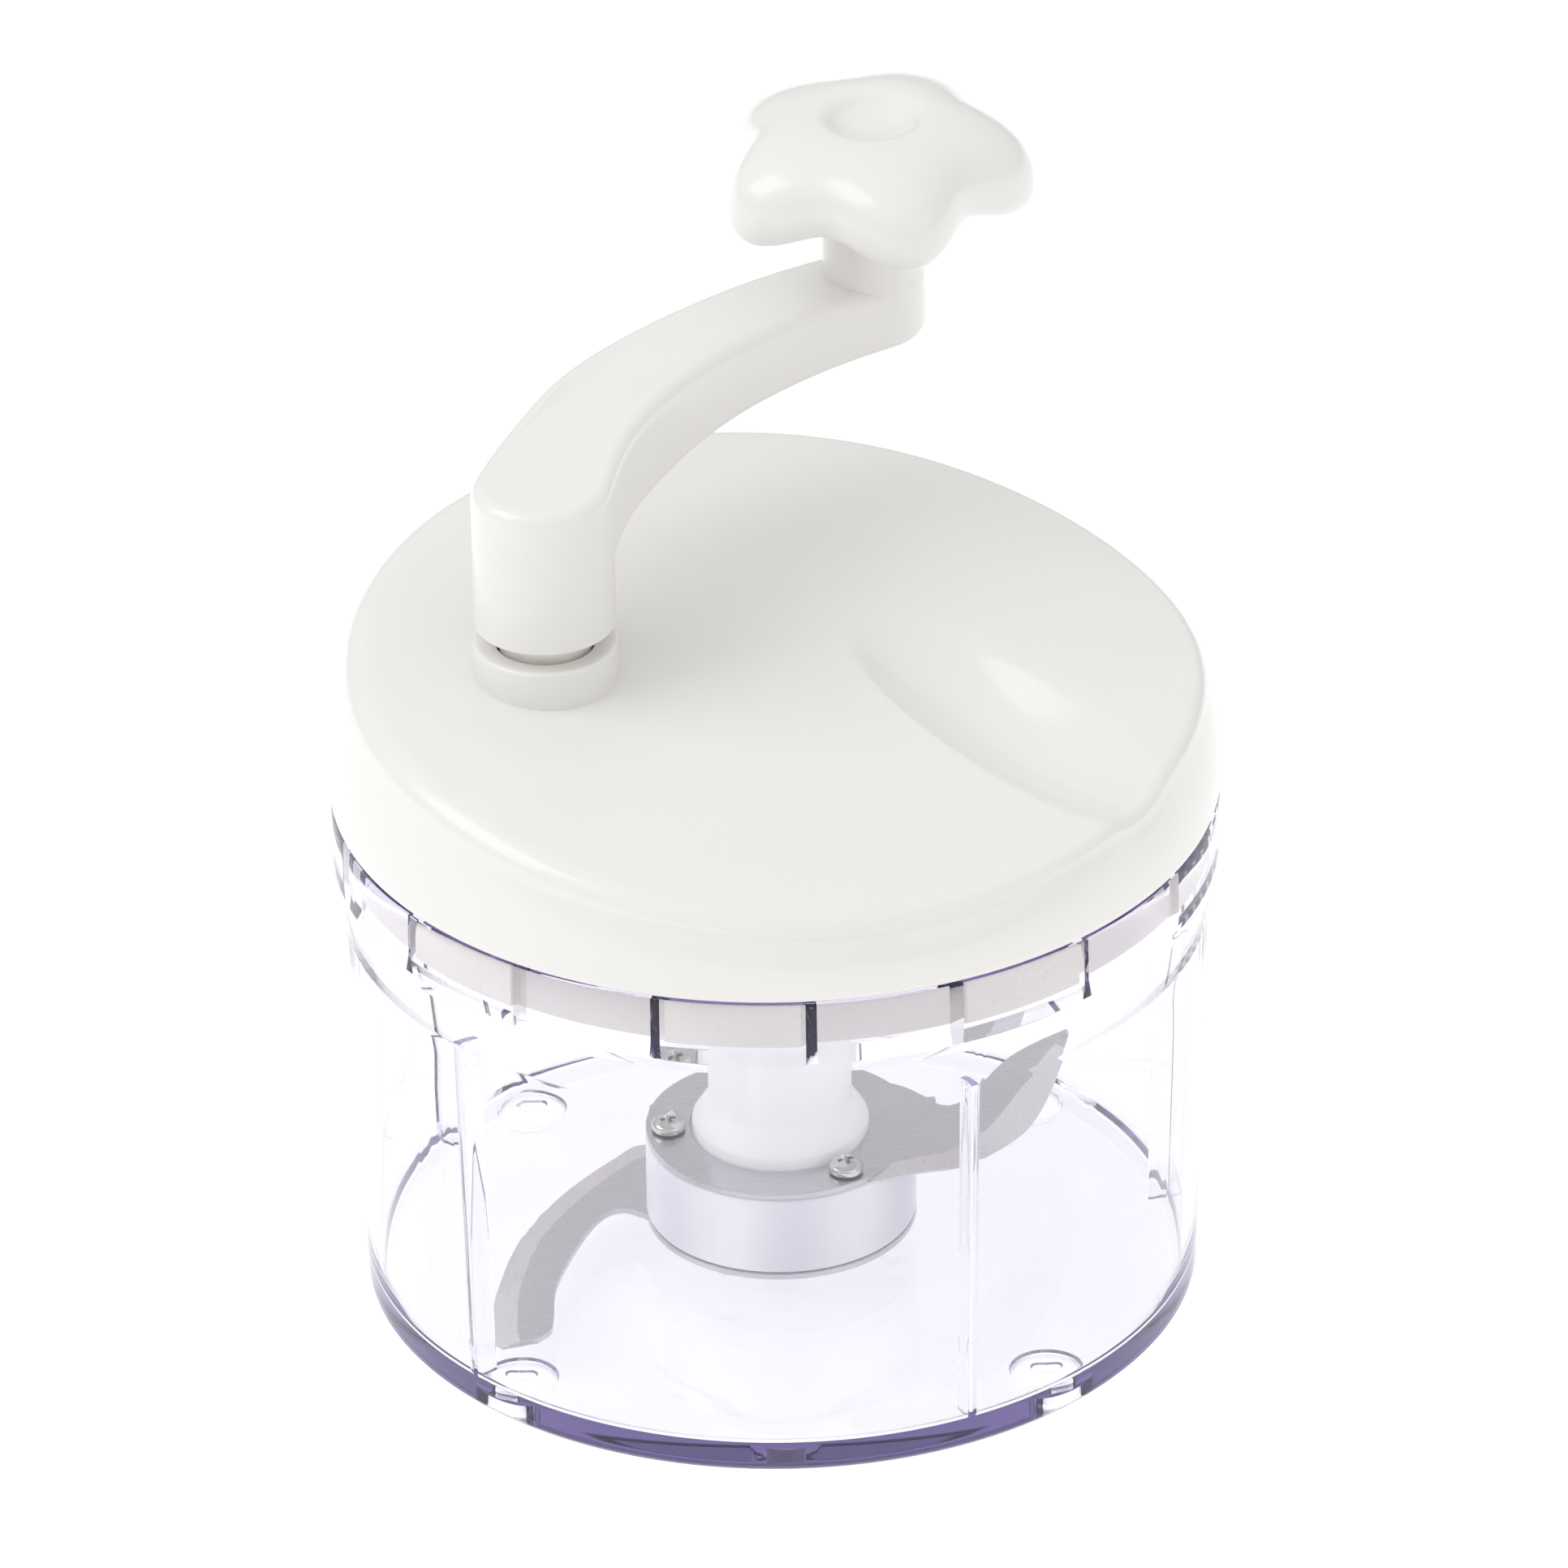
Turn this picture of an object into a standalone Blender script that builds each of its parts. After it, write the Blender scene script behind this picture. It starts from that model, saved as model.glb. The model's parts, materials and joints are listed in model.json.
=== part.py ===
"""Hand-crank food processor: clear bowl, push-on lid with its gears, crank, knob and blade unit.

Dimensions are millimetres in the bowl's own frame: +Z up, origin on the bowl's axis at the level
of the feet, -Y towards the user. MM turns them into Blender's metres. A bearing is an angle about
+Z that starts at the front (-Y) and grows towards +X.
"""
import bpy
import bmesh
from math import acos, cos, hypot, pi, radians, sin, tan
from mathutils import Vector
from numpy import interp

MM = 0.001
GAP = 0.3  # clearance between pieces that touch in the real object

# Bowl
RIM_RADIUS = 70.0
RIM_TOP = 88.0
BASE_RADIUS = 66.2
UNDERSIDE = 0.6  # the feet stand this far below the bowl
FLOOR_TOP = 4.7
FLOOR_ROUND = 1.8  # between floor and wall
WALL = 2.4
WALL_DRAFT = 0.032  # growth of the wall's radius for each millimetre of height
FLARE_FOOT = 67.0  # height where the wall starts to flare out to the rim
SEAT_HEIGHT = 79.0  # floor of the pockets, which the lid's teeth stand on
SKIRT_BORE = 66.4  # rim's inner radius around the lid's skirt
POCKET_RADIUS = 68.4  # rim's inner radius in the pockets
POCKET_COUNT = 9
POCKET_WIDTH = 22.0  # degrees
FIRST_POCKET = -17.0  # bearing of one pocket's left side
ROUND_STEPS = 54  # facets of bowl and lid
RIB_BEARINGS = (27.0, 98.5, 170.0, 241.5, 311.5)
RIB_WIDTH = 1.4
RIB_HEIGHT = 4.0  # how far a rib stands out from the wall
RIB_TOP = 67.2
FOOT_OFFSET = 40.8
FOOT_RADIUS = 5.5
SPINDLE_RADIUS = 3.0
SPINDLE_TOP = 60.0

# Lid
LID_BOTTOM = RIM_TOP + GAP
LID_WALL = 2.4
SKIRT_RADIUS = 66.0
SKIRT_INNER = 63.8
SKIRT_BOTTOM = SEAT_HEIGHT + 0.4
TOOTH_RADIUS = 68.0
LID_EDGE_RADIUS = 68.0
LID_EDGE_HEIGHT = 108.6
LID_CROWN = 1.6
SCOOP_CENTRE = (36.0, -14.0)
SCOOP_BEARING = 40.0
SCOOP_LENGTH = 36.0  # half of the hollow's length
SCOOP_WIDTH = 12.5  # half of its width
SCOOP_DEPTH = 6.5
COVER_TOP = 88.0
COVER_THICKNESS = 2.0
COVER_SCREWS = ((42.0, 30.0), (42.0, -30.0), (-16.0, 50.0), (-16.0, -51.0))

# Gears
GEAR_MODULE = 1.2
DRIVE_TEETH = 44
PINION_TEETH = 16
PRESSURE_ANGLE = radians(20.0)
BACKLASH = 0.30
GEAR_BOTTOM = 92.0
GEAR_TOP = 98.0

# Crank
CRANK_DISTANCE = GEAR_MODULE * (DRIVE_TEETH + PINION_TEETH) / 2
CRANK_BEARING = radians(-81.3)
CRANK_AXIS = (CRANK_DISTANCE * sin(CRANK_BEARING), -CRANK_DISTANCE * cos(CRANK_BEARING))
KNOB_AXIS = (16.8, 57.0)
BOSS_RADIUS = 11.4
BOSS_TOP = 117.0
HUB_RADIUS = 11.2
HUB_BOTTOM = 122.0
ARM_TOP = 148.0
ARM_SAGITTA = 9.3  # how far the arm bows out from the line between its two axes
ARM_HALF_WIDTHS = ((0.0, 11.0), (0.11, 9.55), (0.35, 9.4), (0.6, 8.3), (1.0, 7.8))  # (share along, width)
ARM_ROOT_THICKNESS = 13.0
STEM_RADIUS = 7.9
ARM_END_THICKNESS = 10.0
STEM_TOP = 162.0
SHAFT_RADIUS = 4.0
KNOB_TOP = 175.6
KNOB_RADIUS = 23.7
KNOB_LOBE = 1.5
KNOB_LOBES = 5
KNOB_TURN = 14.0  # bearing of one lobe
PIN_TOP = 170.6

# Blade unit
TUBE_RADIUS = 11.4
TUBE_TOP = 84.0
FLARE_RADIUS = 14.1
DISC_RADIUS = 21.5
DISC_BOTTOM = 10.5
DISC_TOP = 23.7
BLADE_THICKNESS = 1.0
UPPER_BLADE_HOLE = 14.5
LOWER_BLADE_HOLE = 7.2
SCREW_CIRCLE = 17.9
UPPER_SCREWS = (-85.0, 35.0, 155.0)  # bearings
LOWER_SCREWS = (-28.0, 92.0, 212.0)

PARTS = "food_processor"
CUTTERS = "cutters"


# ---------------------------------------------------------------- scene and materials

def clear_scene():
    for obj in list(bpy.data.objects):
        bpy.data.objects.remove(obj, do_unlink=True)
    for name in (PARTS, CUTTERS):
        bpy.context.scene.collection.children.link(bpy.data.collections.new(name))


def material(name, color, roughness, metallic=0.0, transmission=0.0):
    mat = bpy.data.materials.new(name)
    mat.use_nodes = True
    shader = mat.node_tree.nodes["Principled BSDF"]
    shader.inputs["Base Color"].default_value = (*color, 1.0)
    shader.inputs["Roughness"].default_value = roughness
    shader.inputs["Metallic"].default_value = metallic
    shader.inputs["Transmission Weight"].default_value = transmission
    return mat


def axis_empty(name, x, y, parent=None):
    """Empty at a joint's axis; pieces parented to it have their origin on that axis."""
    empty = bpy.data.objects.new(name, None)
    bpy.data.collections[PARTS].objects.link(empty)
    empty.parent = parent
    px, py = (0.0, 0.0) if parent is None else (parent["x"], parent["y"])
    empty["x"], empty["y"] = x, y
    empty.location = ((x - px) * MM, (y - py) * MM, 0.0)
    return empty


def place(name, mesh, parent, mat=None):
    """Object in the parts collection, or, with no material, a cutter."""
    obj = bpy.data.objects.new(name, mesh)
    bpy.data.collections[CUTTERS if mat is None else PARTS].objects.link(obj)
    obj.parent = parent
    if mat is None:
        obj.hide_render = True
        obj.display_type = "WIRE"
    else:
        mesh.materials.append(mat)
    return obj


def to_mesh(name, bm, smooth=True):
    bmesh.ops.recalc_face_normals(bm, faces=bm.faces)
    mesh = bpy.data.meshes.new(name)
    bm.to_mesh(mesh)
    bm.free()
    if smooth:
        mesh.shade_smooth()
        mesh.set_sharp_from_angle(angle=radians(35))
    return mesh


def combine(obj, others, operation):
    for other in others:
        step = obj.modifiers.new(other.name, "BOOLEAN")
        step.operation = operation
        step.object = other
    return obj


def cut(obj, *cutters):
    return combine(obj, cutters, "DIFFERENCE")


def join(obj, *additions):
    return combine(obj, additions, "UNION")


# ---------------------------------------------------------------- shape builders

def turned(name, profile, parent, mat=None, steps=48, start=0.0, ring=False):
    """Turned shape; the (radius, height) profile runs down the outer side. A ring's closes."""
    mesh = bpy.data.meshes.new(name)
    edges = [(i, i + 1) for i in range(len(profile) - 1)]
    if ring:
        edges.append((len(profile) - 1, 0))
    mesh.from_pydata([(r * MM, 0.0, z * MM) for r, z in profile], edges, [])
    obj = place(name, mesh, parent, mat)
    obj.rotation_euler.z = radians(start)
    screw = obj.modifiers.new("Turn", "SCREW")
    screw.steps = screw.render_steps = steps
    screw.use_merge_vertices = True
    screw.merge_threshold = 0.00001
    return obj


def cylinder(name, radius, low, high, parent, mat=None, x=0.0, y=0.0, sides=24):
    bm = bmesh.new()
    bmesh.ops.create_cone(bm, cap_ends=True, segments=sides, radius1=radius * MM,
                          radius2=radius * MM, depth=(high - low) * MM)
    obj = place(name, to_mesh(name, bm), parent, mat)
    obj.location = (x * MM, y * MM, (low + high) / 2 * MM)
    return obj


def skinned(name, rings, parent, mat=None):
    """Closed skin over rings of equally many points, with a face across each end."""
    bm = bmesh.new()
    loops = [[bm.verts.new(Vector(p) * MM) for p in ring] for ring in rings]
    count = len(loops[0])
    for one, two in zip(loops, loops[1:]):
        for i in range(count):
            j = (i + 1) % count
            bm.faces.new((one[i], one[j], two[j], two[i]))
    bm.faces.new(loops[0])
    bm.faces.new(loops[-1])
    return place(name, to_mesh(name, bm), parent, mat)


def prism(name, outline, low, high, parent, mat=None):
    return skinned(name, [[(x, y, z) for x, y in outline] for z in (low, high)], parent, mat)


def bearing_point(radius, bearing):
    return radius * sin(radians(bearing)), -radius * cos(radians(bearing))


def sector(name, inner, outer, low, high, first, width, parent, steps=3):
    """Block between two radii and two bearings."""
    bearings = [first + width * i / steps for i in range(steps + 1)]
    outline = [bearing_point(outer, b) for b in bearings]
    outline += [bearing_point(inner, b) for b in reversed(bearings)]
    return prism(name, outline, low, high, parent)


def pocket_sectors(name, inner, outer, low, high, side_gap, parent):
    pitch = 360.0 / POCKET_COUNT
    return [sector(f"{name}_{i + 1}", inner, outer, low, high,
                   FIRST_POCKET + i * pitch + side_gap, POCKET_WIDTH - 2 * side_gap, parent)
            for i in range(POCKET_COUNT)]


def smooth_curve(points, count):
    """Evenly counted points on a Catmull-Rom curve through a few plan points."""
    p = [Vector(q) for q in points]
    p = [2 * p[0] - p[1], *p, 2 * p[-1] - p[-2]]
    result = []
    spans = len(points) - 1
    for k in range(count):
        s = k * spans / (count - 1)
        i = min(int(s), spans - 1)
        t = s - i
        a, b, c, d = p[i:i + 4]
        result.append(0.5 * (2 * b + (c - a) * t + (2 * a - 5 * b + 4 * c - d) * t * t
                             + (3 * b - a - 3 * c + d) * t ** 3))
    return result


# ---------------------------------------------------------------- bowl

def wall_inner_radius(z):
    """Inside of the bowl's drafted wall."""
    return BASE_RADIUS - WALL + (z - FLOOR_TOP) * WALL_DRAFT


def make_bowl(frame, clear):
    corner = FLOOR_TOP + FLOOR_ROUND
    flare_start = wall_inner_radius(FLARE_FOOT)
    outside = [(RIM_RADIUS, 76.5), (69.5, 74.0), (69.0, 71.0), (flare_start + WALL, FLARE_FOOT),
               (BASE_RADIUS, 1.6), (BASE_RADIUS - 0.8, UNDERSIDE)]
    profile = [(0.0, FLOOR_TOP), (wall_inner_radius(FLOOR_TOP) - FLOOR_ROUND, FLOOR_TOP),
               (wall_inner_radius(corner), corner), (flare_start, FLARE_FOOT),
               (SKIRT_BORE, 71.0), (SKIRT_BORE, RIM_TOP), (RIM_RADIUS - 0.4, RIM_TOP),
               (RIM_RADIUS, RIM_TOP - 0.4), *outside, (0.0, UNDERSIDE)]
    start = (FIRST_POCKET - 90.0) % (360.0 / ROUND_STEPS)
    bowl = turned("bowl", profile, frame, clear, ROUND_STEPS, start)
    join(bowl, *(rib(i, bearing, frame) for i, bearing in enumerate(RIB_BEARINGS)))
    cut(bowl, *pocket_sectors("pocket", 65.9, POCKET_RADIUS, SEAT_HEIGHT + 0.2, 90.0, 0.2, frame))
    for i, (x, y) in enumerate(foot_places()):
        cut(bowl, cylinder(f"foot_recess_{i + 1}", FOOT_RADIUS + GAP, -1.0, 2.7, frame, x=x, y=y))
        cut(bowl, cylinder(f"foot_stem_hole_{i + 1}", 1.8, 2.0, 3.8, frame, x=x, y=y, sides=12))
    return cut(bowl, cylinder("spindle_socket", SPINDLE_RADIUS + GAP, 2.0, 9.0, frame))


def rib(index, bearing, frame):
    """Upright rib on the inside of the wall, leaning with the wall's draft."""
    rings = []
    for z in (FLOOR_TOP - 1.0, RIB_TOP):
        inner, outer = wall_inner_radius(z) - RIB_HEIGHT, wall_inner_radius(z) + WALL / 2
        half = RIB_WIDTH / 2
        a = radians(bearing)
        out, side = Vector((sin(a), -cos(a))), Vector((cos(a), sin(a)))
        corners = ((inner, -half), (inner, half), (outer, half), (outer, -half))
        rings.append([(*(out * r + side * s), z) for r, s in corners])
    return skinned(f"rib_{index + 1}", rings, frame)


def foot_places():
    return [(sx * FOOT_OFFSET, sy * FOOT_OFFSET) for sx in (-1, 1) for sy in (-1, 1)]


def make_foot(index, x, y, frame, mat):
    profile = [(0.0, 3.5), (1.5, 3.5), (1.5, 2.4), (FOOT_RADIUS, 2.4), (FOOT_RADIUS, 0.5),
               (FOOT_RADIUS - 0.5, 0.0), (0.0, 0.0)]
    foot = turned(f"foot_{index + 1}", profile, frame, mat, 18)
    foot.location = (x * MM, y * MM, 0.0)


def make_spindle(frame, steel):
    profile = [(0.0, SPINDLE_TOP), (2.0, SPINDLE_TOP), (SPINDLE_RADIUS, SPINDLE_TOP - 1.5),
               (SPINDLE_RADIUS, 2.3), (0.0, 2.3)]
    turned("spindle_pin", profile, frame, steel, 24)


# ---------------------------------------------------------------- lid

def lid_height(x, y):
    """Top face of the lid: a low crown on a wavy edge, less the finger hollow."""
    r = hypot(x, y) / LID_EDGE_RADIUS
    bearing = 0.0 if r == 0 else (acos(max(-1.0, min(1.0, -y / hypot(x, y)))))
    bearing = bearing if x >= 0 else -bearing
    tilt = r * (-5.4 * cos(bearing) - 3.5 * sin(bearing))
    saddle = r ** 2 * (-1.0 * cos(2 * bearing) + 0.2 * sin(2 * bearing))
    ripple = r ** 3 * (-0.9 * cos(3 * bearing) - 0.7 * sin(3 * bearing))
    back_slant = -4.5 * r ** 3 * max(0.0, -cos(bearing)) * sin(bearing) ** 3
    crown = LID_CROWN * (1.0 - r * r)
    return LID_EDGE_HEIGHT + tilt + saddle + ripple + back_slant + crown - scoop_depth(x, y)


def scoop_depth(x, y):
    along = Vector(bearing_point(1.0, SCOOP_BEARING))
    offset = Vector((x, y)) - Vector(SCOOP_CENTRE)
    u = offset.dot(along) / SCOOP_LENGTH
    v = offset.cross(along) / SCOOP_WIDTH
    return SCOOP_DEPTH * max(0.0, 1.0 - u * u - v * v) ** 1.2


def lid_ring(radius, height):
    """Ring of the lid's skin; height is a number, or a function of the plan position."""
    pitch = 360.0 / ROUND_STEPS
    ring = []
    for i in range(ROUND_STEPS):
        x, y = bearing_point(radius, FIRST_POCKET + i * pitch)
        ring.append((x, y, height(x, y) if callable(height) else height))
    return ring


def edge_height(drop):
    """Height below the top face's edge, whatever the ring's own radius is."""
    def height(x, y):
        scale = LID_EDGE_RADIUS / hypot(x, y)
        return lid_height(x * scale, y * scale) - drop
    return height


def make_lid_shell(frame, white):
    face_radii = (9.0, 20.0, 30.0, 39.0, 48.0, 56.0, 63.0)
    rings = [lid_ring(r, lid_height) for r in face_radii]
    rings += [lid_ring(66.4, edge_height(0.5)), lid_ring(68.0, edge_height(2.0)),
              lid_ring(68.8, edge_height(5.0)), lid_ring(RIM_RADIUS, 93.0),
              lid_ring(RIM_RADIUS, LID_BOTTOM), lid_ring(SKIRT_RADIUS, LID_BOTTOM),
              lid_ring(SKIRT_RADIUS, SKIRT_BOTTOM), lid_ring(SKIRT_INNER, SKIRT_BOTTOM),
              lid_ring(SKIRT_INNER, 89.0), lid_ring(66.6, 91.0),
              lid_ring(66.0, edge_height(5.5))]
    rings += [lid_ring(r, lambda x, y: lid_height(x, y) - LID_WALL)
              for r in reversed(face_radii[:-1])]
    lid = skinned("lid_shell", rings, frame, white)
    join(lid, *pocket_sectors("tooth", 64.9, TOOTH_RADIUS, SKIRT_BOTTOM + 0.2, 88.6, 0.6, frame))
    add_lid_bosses(lid, frame)
    return lid


def add_lid_bosses(lid, frame):
    x, y = CRANK_AXIS
    pinion_boss = cylinder("pinion_boss", 8.0, GEAR_TOP + 0.6, lid_height(0, 0) - 1.2, frame)
    crank_boss = cylinder("crank_boss", BOSS_RADIUS, 106.0, BOSS_TOP, frame, x=x, y=y, sides=36)
    join(lid, pinion_boss, crank_boss)
    cut(lid, cylinder("pinion_boss_bore", 4.3, 90.0, 104.0, frame),
        cylinder("crank_boss_recess", 9.6, 111.6, 120.0, frame, x=x, y=y, sides=36),
        cylinder("bush_hole", 6.8, 95.0, 115.0, frame, x=x, y=y))
    for i, (sx, sy) in enumerate(COVER_SCREWS):
        top = lid_height(sx, sy) - 1.2
        join(lid, cylinder(f"screw_boss_{i + 1}", 3.6, COVER_TOP + GAP, top, frame,
                           x=sx, y=sy, sides=16))
        cut(lid, cylinder(f"screw_boss_bore_{i + 1}", 1.55, 80.0, top - 2.0, frame,
                          x=sx, y=sy, sides=12))


def make_gear_cover(frame, white):
    low = COVER_TOP - COVER_THICKNESS
    profile = [(8.2, COVER_TOP), (SKIRT_INNER - 0.5, COVER_TOP), (SKIRT_INNER - 0.5, low),
               (8.2, low)]
    cover = turned("gear_cover", profile, frame, white, ROUND_STEPS, ring=True)
    for i, (x, y) in enumerate(COVER_SCREWS):
        cut(cover, cylinder(f"cover_hole_{i + 1}", 1.6, 80.0, 90.0, frame, x=x, y=y, sides=12))


def make_shaft_bush(axis, mat):
    """Flanged bearing bush in the lid's crank boss."""
    bore = SHAFT_RADIUS + 0.25
    profile = [(bore, 113.0), (9.2, 113.0), (9.2, 111.9), (6.5, 111.9), (6.5, 105.0),
               (bore, 105.0)]
    turned("shaft_bush", profile, axis, mat, 32, ring=True)


# ---------------------------------------------------------------- gears

def gear_outline(teeth, phase):
    """Involute gear outline with a tooth centred on the phase angle."""
    pitch_r = GEAR_MODULE * teeth / 2
    base_r = pitch_r * cos(PRESSURE_ANGLE)
    root_r, tip_r = pitch_r - 1.25 * GEAR_MODULE, pitch_r + 0.9 * GEAR_MODULE
    half = (pi * GEAR_MODULE / 2 - BACKLASH) / 2 / pitch_r

    def half_angle(r):
        pressure = acos(min(1.0, base_r / r))
        return half + (tan(PRESSURE_ANGLE) - PRESSURE_ANGLE) - (tan(pressure) - pressure)

    flank = [(root_r, half_angle(max(root_r, base_r))), (pitch_r, half_angle(pitch_r)),
             (tip_r, half_angle(tip_r))]
    outline = []
    for i in range(teeth):
        centre = phase + i * 2 * pi / teeth
        outline += [(r, centre - a) for r, a in flank]
        outline += [(r, centre + a) for r, a in reversed(flank)]
    return [(r * cos(a), r * sin(a)) for r, a in outline]


def make_drive_gear(axis, mat):
    towards_pinion = CRANK_BEARING + pi / 2
    gear = prism("drive_gear", gear_outline(DRIVE_TEETH, towards_pinion), GEAR_BOTTOM, GEAR_TOP,
                 axis, mat)
    join(gear, cylinder("gear_hub", 8.0, GEAR_BOTTOM + 1.0, 104.0, axis))
    cut(gear, cylinder("gear_hub_bore", 4.75, 80.0, 110.0, axis, sides=6))
    cut(gear, turned("gear_web_recess", [(11.0, 100.0), (22.0, 100.0), (22.0, 95.0),
                                         (11.0, 95.0)], axis, steps=32, ring=True))


def make_pinion(axis, mat):
    """Pinion with a top journal in the lid and a hexagonal foot that drives the blade unit."""
    away = CRANK_BEARING + pi / 2 + pi + pi / PINION_TEETH
    gear = prism("pinion_gear", gear_outline(PINION_TEETH, away), GEAR_BOTTOM, GEAR_TOP, axis, mat)
    join(gear, cylinder("pinion_journal", 4.0, GEAR_TOP - 1.0, 103.0, axis),
         cylinder("pinion_hub", 7.6, 84.6, GEAR_BOTTOM + 1.0, axis),
         cylinder("pinion_hex", 6.2, 74.0, 85.0, axis, sides=6))


# ---------------------------------------------------------------- crank and knob

def arm_centreline(count):
    """Points and outward normals along the arm's arc, relative to the crank's axis."""
    end = Vector(KNOB_AXIS) - Vector(CRANK_AXIS)
    chord = end.length
    radius = (chord * chord / 4 + ARM_SAGITTA ** 2) / (2 * ARM_SAGITTA)
    along = end / chord
    outward = Vector((-along.y, along.x))
    centre = end / 2 - outward * (radius - ARM_SAGITTA)
    half_turn = acos((radius - ARM_SAGITTA) / radius)
    stations = []
    for i in range(count):
        a = half_turn * (2 * i / (count - 1) - 1)
        normal = outward * cos(a) + along * sin(a)
        stations.append((i / (count - 1), centre + normal * radius, normal))
    return stations


def make_crank_arm(axis, white):
    rings = []
    for t, point, normal in arm_centreline(15):
        half = interp(t, *zip(*ARM_HALF_WIDTHS))
        low = ARM_TOP - ARM_ROOT_THICKNESS + (ARM_ROOT_THICKNESS - ARM_END_THICKNESS) * t
        near, far = point - normal * half, point + normal * half
        rings.append([(*near, low), (*far, low), (*far, ARM_TOP - 0.05), (*near, ARM_TOP - 0.05)])
    arm = skinned("crank_arm", rings, axis, white)
    kx, ky = Vector(KNOB_AXIS) - Vector(CRANK_AXIS)
    bottom = ARM_TOP - ARM_END_THICKNESS - 0.1
    join(arm, cylinder("crank_hub", HUB_RADIUS, HUB_BOTTOM, ARM_TOP, axis, sides=36),
         cylinder("knob_stem", STEM_RADIUS, bottom, STEM_TOP, axis, x=kx, y=ky, sides=28))
    return cut(arm, cylinder("shaft_socket", SHAFT_RADIUS + GAP, 110.0, 141.3, axis),
               cylinder("pin_hole", 2.8, 130.0, 170.0, axis, x=kx, y=ky, sides=16),
               cylinder("pin_head_recess", 4.8, 130.0, bottom + 3.3, axis, x=kx, y=ky, sides=20))


def make_crank_shaft(axis, steel):
    """Shaft from the crank's hub to the gear, hexagonal where it carries the gear."""
    shaft = cylinder("crank_shaft", SHAFT_RADIUS, 104.4, 141.0, axis, steel)
    join(shaft, cylinder("shaft_hex", 4.4, GEAR_BOTTOM, 105.0, axis, sides=6))
    cut(shaft, cylinder("shaft_thread", 1.9, 85.0, 102.0, axis, sides=12))


def make_shaft_sleeve(axis, steel):
    bore = SHAFT_RADIUS + 0.2
    profile = [(bore, HUB_BOTTOM - GAP), (7.6, HUB_BOTTOM - GAP), (8.0, HUB_BOTTOM - 0.8),
               (8.0, 113.4), (bore, 113.4)]
    turned("shaft_sleeve", profile, axis, steel, 32, ring=True)


def make_gear_fixing(axis, steel):
    low = GEAR_BOTTOM - 1.3
    turned("gear_washer", [(1.9, GEAR_BOTTOM - GAP), (6.5, GEAR_BOTTOM - GAP), (6.5, low),
                           (1.9, low)], axis, steel, 24, ring=True)
    make_screw("gear_screw", axis, steel, 3.2, 1.6, low - GAP, 1.6, 10.5, upward=False)


def make_knob_pin(axis, steel):
    bottom = ARM_TOP - ARM_END_THICKNESS + 0.4
    profile = [(0.0, PIN_TOP), (2.0, PIN_TOP), (2.5, PIN_TOP - 0.5), (2.5, bottom + 2.4),
               (4.5, bottom + 2.4), (4.5, bottom + 0.4), (4.1, bottom), (0.0, bottom)]
    pin = turned("knob_pin", profile, axis, steel, 20)
    kx, ky = Vector(KNOB_AXIS) - Vector(CRANK_AXIS)
    pin.location = (kx * MM, ky * MM, 0.0)


def knob_ring(radius, lobe, z, lobe_drop=0.0):
    """Five-lobed ring; lobe_drop lowers the lobes and lifts the valleys."""
    ring = []
    count = 8 * KNOB_LOBES
    for i in range(count):
        a = 2 * pi * i / count
        wave = cos(KNOB_LOBES * a)
        r = radius + lobe * wave
        x, y = bearing_point(r, a * 180 / pi + KNOB_TURN)
        ring.append((x, y, z - lobe_drop * wave))
    return ring


def make_knob(axis, white):
    """Flower-shaped knob with a round dimple on top and a bore for its pin."""
    top = KNOB_TOP
    rings = [knob_ring(3.0, 0.0, top - 2.2), knob_ring(5.6, 0.0, top - 1.5),
             knob_ring(7.6, 0.0, top - 0.3), knob_ring(9.4, 0.0, top),
             knob_ring(13.0, 0.2, top - 0.3, 0.1), knob_ring(17.0, 0.6, top - 1.6, 0.5),
             knob_ring(20.4, 1.1, top - 3.8, 1.2), knob_ring(22.8, 1.4, top - 6.9, 2.1),
             knob_ring(KNOB_RADIUS, KNOB_LOBE, top - 10.0, 2.5), knob_ring(23.2, 1.5, top - 12.7, 2.8),
             knob_ring(21.5, 1.4, top - 14.0, 3.0), knob_ring(15.0, 0.6, top - 13.7, 1.4),
             knob_ring(9.5, 0.0, STEM_TOP + 0.4)]
    knob = skinned("knob", rings, axis, white)
    cut(knob, cylinder("knob_bore", 2.8, 150.0, PIN_TOP + 0.5, axis, sides=16))


# ---------------------------------------------------------------- blade unit

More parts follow.
